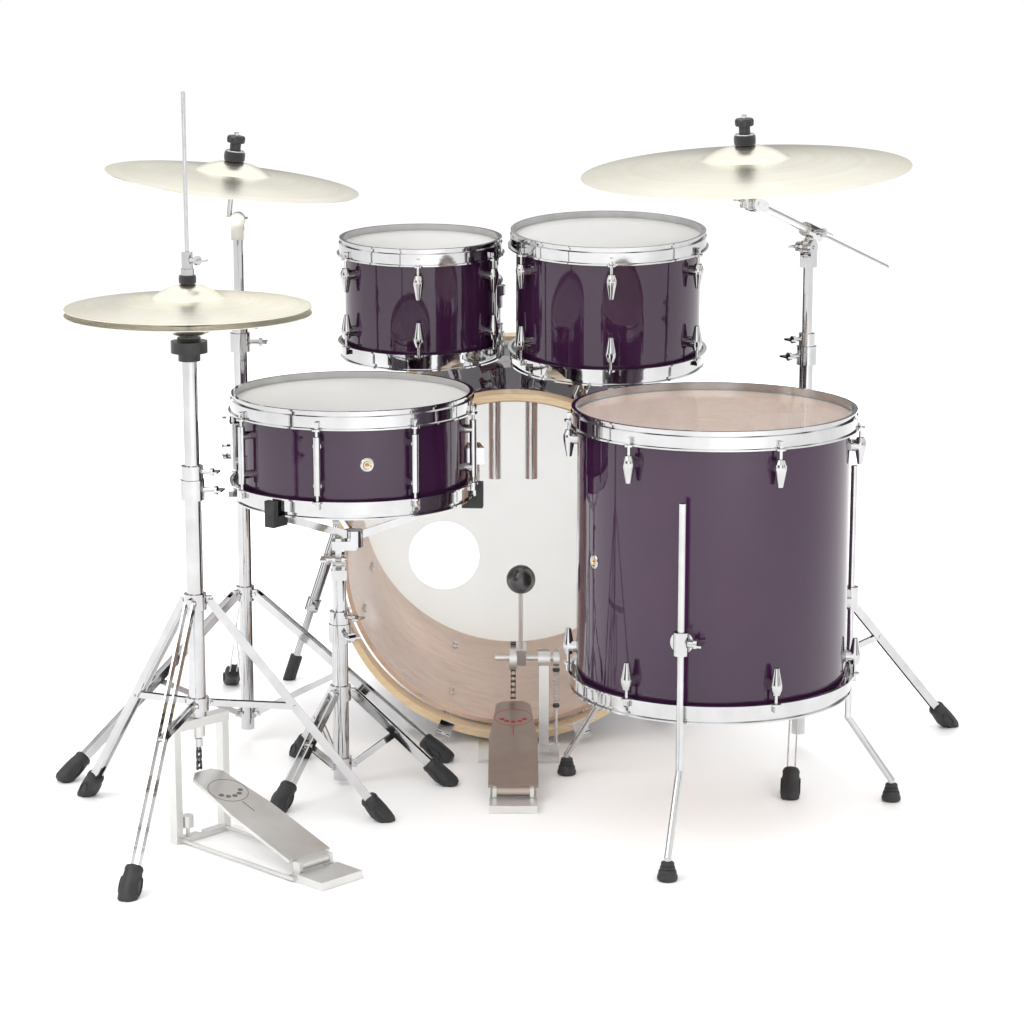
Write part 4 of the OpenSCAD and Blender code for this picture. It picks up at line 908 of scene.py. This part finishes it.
def make_hihat():
    dress("hihat_upper_tube", [CHROME, PLASTIC, FELT],
          lambda centre, size: 0 if size.z > 0.1 else 2 if size.z < 0.008 else 1)
    dress("hihat_pull_rod", [STEEL], lambda centre, size: 0 if size.z > 0.3 else None)
    dress("hihat_clutch", [CHROME], lambda centre, size: 0 if size.z > 0.03 else None)
    dress("hihat_frame", [SATIN], everything(0))
    dress("hihat_footboard", [SATIN], everything(0))
    hat = Vector((*joints["hihat_top_spin"]["pos_m"][:2], 0))
    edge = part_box("hihat_bottom_cymbal")[1].z + HAT_GAP
    hole = HAT_SHAPE[0] + HAT_SHAPE[1]
    place = at(hat + Vector((0, 0, edge)))
    under = cymbal_height(0.012, 7 * INCH, HAT_SHAPE) - CYMBAL_T
    lower = soft_ring(0.0053, 0.0119, under - 0.0052, under - 0.0003, 0.0014, 0.0002)
    upper = soft_ring(0.0053, 0.0124, hole + 0.0005, hole + 0.0130, 0.002, 0.0003)
    lathe("clutch_lower_felt", lower, [FELT], "hihat_clutch", place)
    lathe("clutch_upper_felt", upper, [FELT], "hihat_clutch", place)
    stand = at(hat, (HAT_TURN, "Z"))
    points = [(0, 0, HAT_CHAIN_Z + (CHAIN_TOP - HAT_CHAIN_Z) * i / 4) for i in range(5)]
    chain("hihat_chain", points, "hihat_pull_rod", stand)
    board = stand @ at((0, HAT_HINGE_Y, HEEL_Z), (HAT_RISE, "X"))
    board_print("hihat_print", 0.256, GREY_INK, PLASTIC, "hihat_footboard", board)


def make_pedal():
    dress("pedal_base", [SATIN, STEEL],
          lambda centre, size: 0 if size.y > 0.1 else 1 if size.x < 0.009 else None)
    dress("pedal_footboard", [BOARD], lambda centre, size: 0 if size.y > 0.1 else None)
    dress("pedal_beater", [SATIN, GLOSS], lambda centre, size: 0 if max(size) > 0.06 else 1)
    pedal = at((PEDAL_X, 0, 0))
    wrap_r = HUB_R + CHAIN_R
    rise = [(0, AXLE_Y + wrap_r, TOE_Z + (AXLE_Z - TOE_Z) * i / 8) for i in range(9)]
    chain("pedal_chain", rise, "pedal_footboard", pedal)
    turn = [math.radians(2 + 18 * i) for i in range(6)]
    over = [(0, AXLE_Y + wrap_r * math.cos(a), AXLE_Z + wrap_r * math.sin(a)) for a in turn]
    chain("pedal_chain_over_hub", over, "pedal_beater", pedal)
    steps = COILS * COIL_STEPS
    coil = []
    for i in range(steps + 1):
        a = 2 * math.pi * i / COIL_STEPS
        z = SPRING_LOW + (SPRING_HIGH - SPRING_LOW) * i / steps
        coil.append((0.0047 * math.cos(a), 0.0047 * math.sin(a), z))
    spring = pedal @ at((SPRING_X, SPRING_Y, 0))
    sweep("pedal_spring", coil, 0.0009, [STEEL], "kit", spring, 8)
    for name, z in (("lower", 0.0805), ("upper", 0.1405)):
        profile = [(0, z), (0.0052, z), (0.0058, z + 0.0006), (0.0058, z + 0.0046),
                   (0.0052, z + 0.0052), (0, z + 0.0052)]
        lathe(f"pedal_spring_nut_{name}", profile, [PLASTIC], "kit", spring, 24, closed=False)
    board = pedal @ at((0, HINGE_Y, HEEL_Z), (PEDAL_RISE, "X"))
    board_print("pedal_print", 0.300, RED, RED, "pedal_footboard", board)


# ---------------------------------------------------------------- stage

def make_stage():
    bm = bmesh.new()
    for x, y in ((-1, -1), (1, -1), (1, 1), (-1, 1)):
        bm.verts.new((x * FLOOR_SIZE, y * FLOOR_SIZE, -0.0005))
    bm.faces.new(bm.verts)
    mesh = bpy.data.meshes.new("floor")
    bm.to_mesh(mesh)
    bm.free()
    floor = bpy.data.objects.new("floor", mesh)
    bpy.context.scene.collection.objects.link(floor)
    made, tree, shader = new_material("pale_floor", (0.97, 0.97, 0.97), 0.0, 0.6)
    cloud = noise(tree, coords(tree), 0.8, 2)
    tone = ramp(tree, cloud, [(0.3, (0.965, 0.965, 0.965)), (0.7, (0.98, 0.98, 0.98))])
    tree.links.new(tone, shader.inputs["Base Color"])
    mesh.materials.append(made)


def soft_light(name, place, look_at, size, power, glossy=True):
    data = bpy.data.lights.new(name, "AREA")
    data.shape = "RECTANGLE"
    data.size, data.size_y = size
    data.energy = power
    light = bpy.data.objects.new(name, data)
    bpy.context.scene.collection.objects.link(light)
    light.visible_glossy = glossy
    aim = Vector(look_at) - Vector(place)
    light.matrix_world = Matrix.Translation(place) @ aim.to_track_quat("-Z", "Y").to_matrix().to_4x4()


# Brightness of the studio's walls at each part of a turn
WALL_TONES = [(0.00, 1.4), (0.05, 1.4), (0.09, 0.10), (0.16, 0.05), (0.19, 1.3), (0.25, 1.3),
              (0.28, 0.22), (0.36, 0.10), (0.40, 0.9), (0.44, 0.9), (0.47, 0.26), (0.56, 0.20),
              (0.60, 0.04), (0.66, 0.14), (0.70, 1.2), (0.76, 1.2), (0.79, 0.08), (0.84, 0.9),
              (0.88, 0.9), (0.92, 0.05), (0.97, 1.4)]


def make_world():
    """A pale studio: white overhead, with dark and bright stretches round the walls that give
    metal its contrast. The camera itself sees plain white."""
    world = bpy.data.worlds.new("studio")
    world.use_nodes = True
    tree = world.node_tree
    out = tree.nodes["Background"]
    source = tree.nodes.new("ShaderNodeTexCoord")
    split = tree.nodes.new("ShaderNodeSeparateXYZ")
    tree.links.new(source.outputs["Generated"], split.inputs["Vector"])
    turn = math_node(tree, "ARCTAN2", split.outputs["X"], split.outputs["Y"])
    part = math_node(tree, "FRACT", math_node(tree, "MULTIPLY_ADD", turn, 1 / (2 * math.pi)))
    walls = ramp(tree, part, [(place, (tone, tone, tone)) for place, tone in WALL_TONES])
    height = ramp(tree, split.outputs["Z"], [(0.0, (0, 0, 0)), (0.22, (0, 0, 0)), (0.42, (1, 1, 1))])
    mixed = tree.nodes.new("ShaderNodeMix")
    mixed.data_type = "RGBA"
    tree.links.new(height, mixed.inputs["Factor"])
    tree.links.new(walls, mixed.inputs[6])
    mixed.inputs[7].default_value = (1, 1, 1, 1)
    tree.links.new(mixed.outputs[2], out.inputs["Color"])
    out.inputs["Strength"].default_value = 1.2
    plain = tree.nodes.new("ShaderNodeBackground")
    plain.inputs["Color"].default_value = (1, 1, 1, 1)
    plain.inputs["Strength"].default_value = 1.0
    ray = tree.nodes.new("ShaderNodeLightPath")
    choose = tree.nodes.new("ShaderNodeMixShader")
    tree.links.new(ray.outputs["Is Camera Ray"], choose.inputs[0])
    tree.links.new(out.outputs[0], choose.inputs[1])
    tree.links.new(plain.outputs[0], choose.inputs[2])
    tree.links.new(choose.outputs[0], tree.nodes["World Output"].inputs["Surface"])
    bpy.context.scene.world = world


def make_camera():
    data = bpy.data.cameras.new("camera")
    data.lens = 100.4
    data.sensor_width = 36
    camera = bpy.data.objects.new("camera", data)
    camera.location = (-0.016, -4.447, 1.380)
    camera.rotation_euler = (math.radians(90 - 12.23), 0, 0)
    bpy.context.scene.collection.objects.link(camera)
    bpy.context.scene.camera = camera


make_camera()
make_world()
make_stage()
soft_light("key", (-2.6, -2.2, 3.6), (0, 0, 0.4), (2.6, 2.6), 70)
soft_light("fill", (1.4, -4.4, 1.5), (0, 0, 0.35), (2.4, 1.4), 55, False)
soft_light("back", (0.2, 3.4, 1.7), (0, 0.4, 0.35), (3.0, 1.8), 105, False)
bpy.context.scene.view_settings.view_transform = "Standard"

make_drums()
make_cymbals()
make_stands()
make_hihat()
make_pedal()
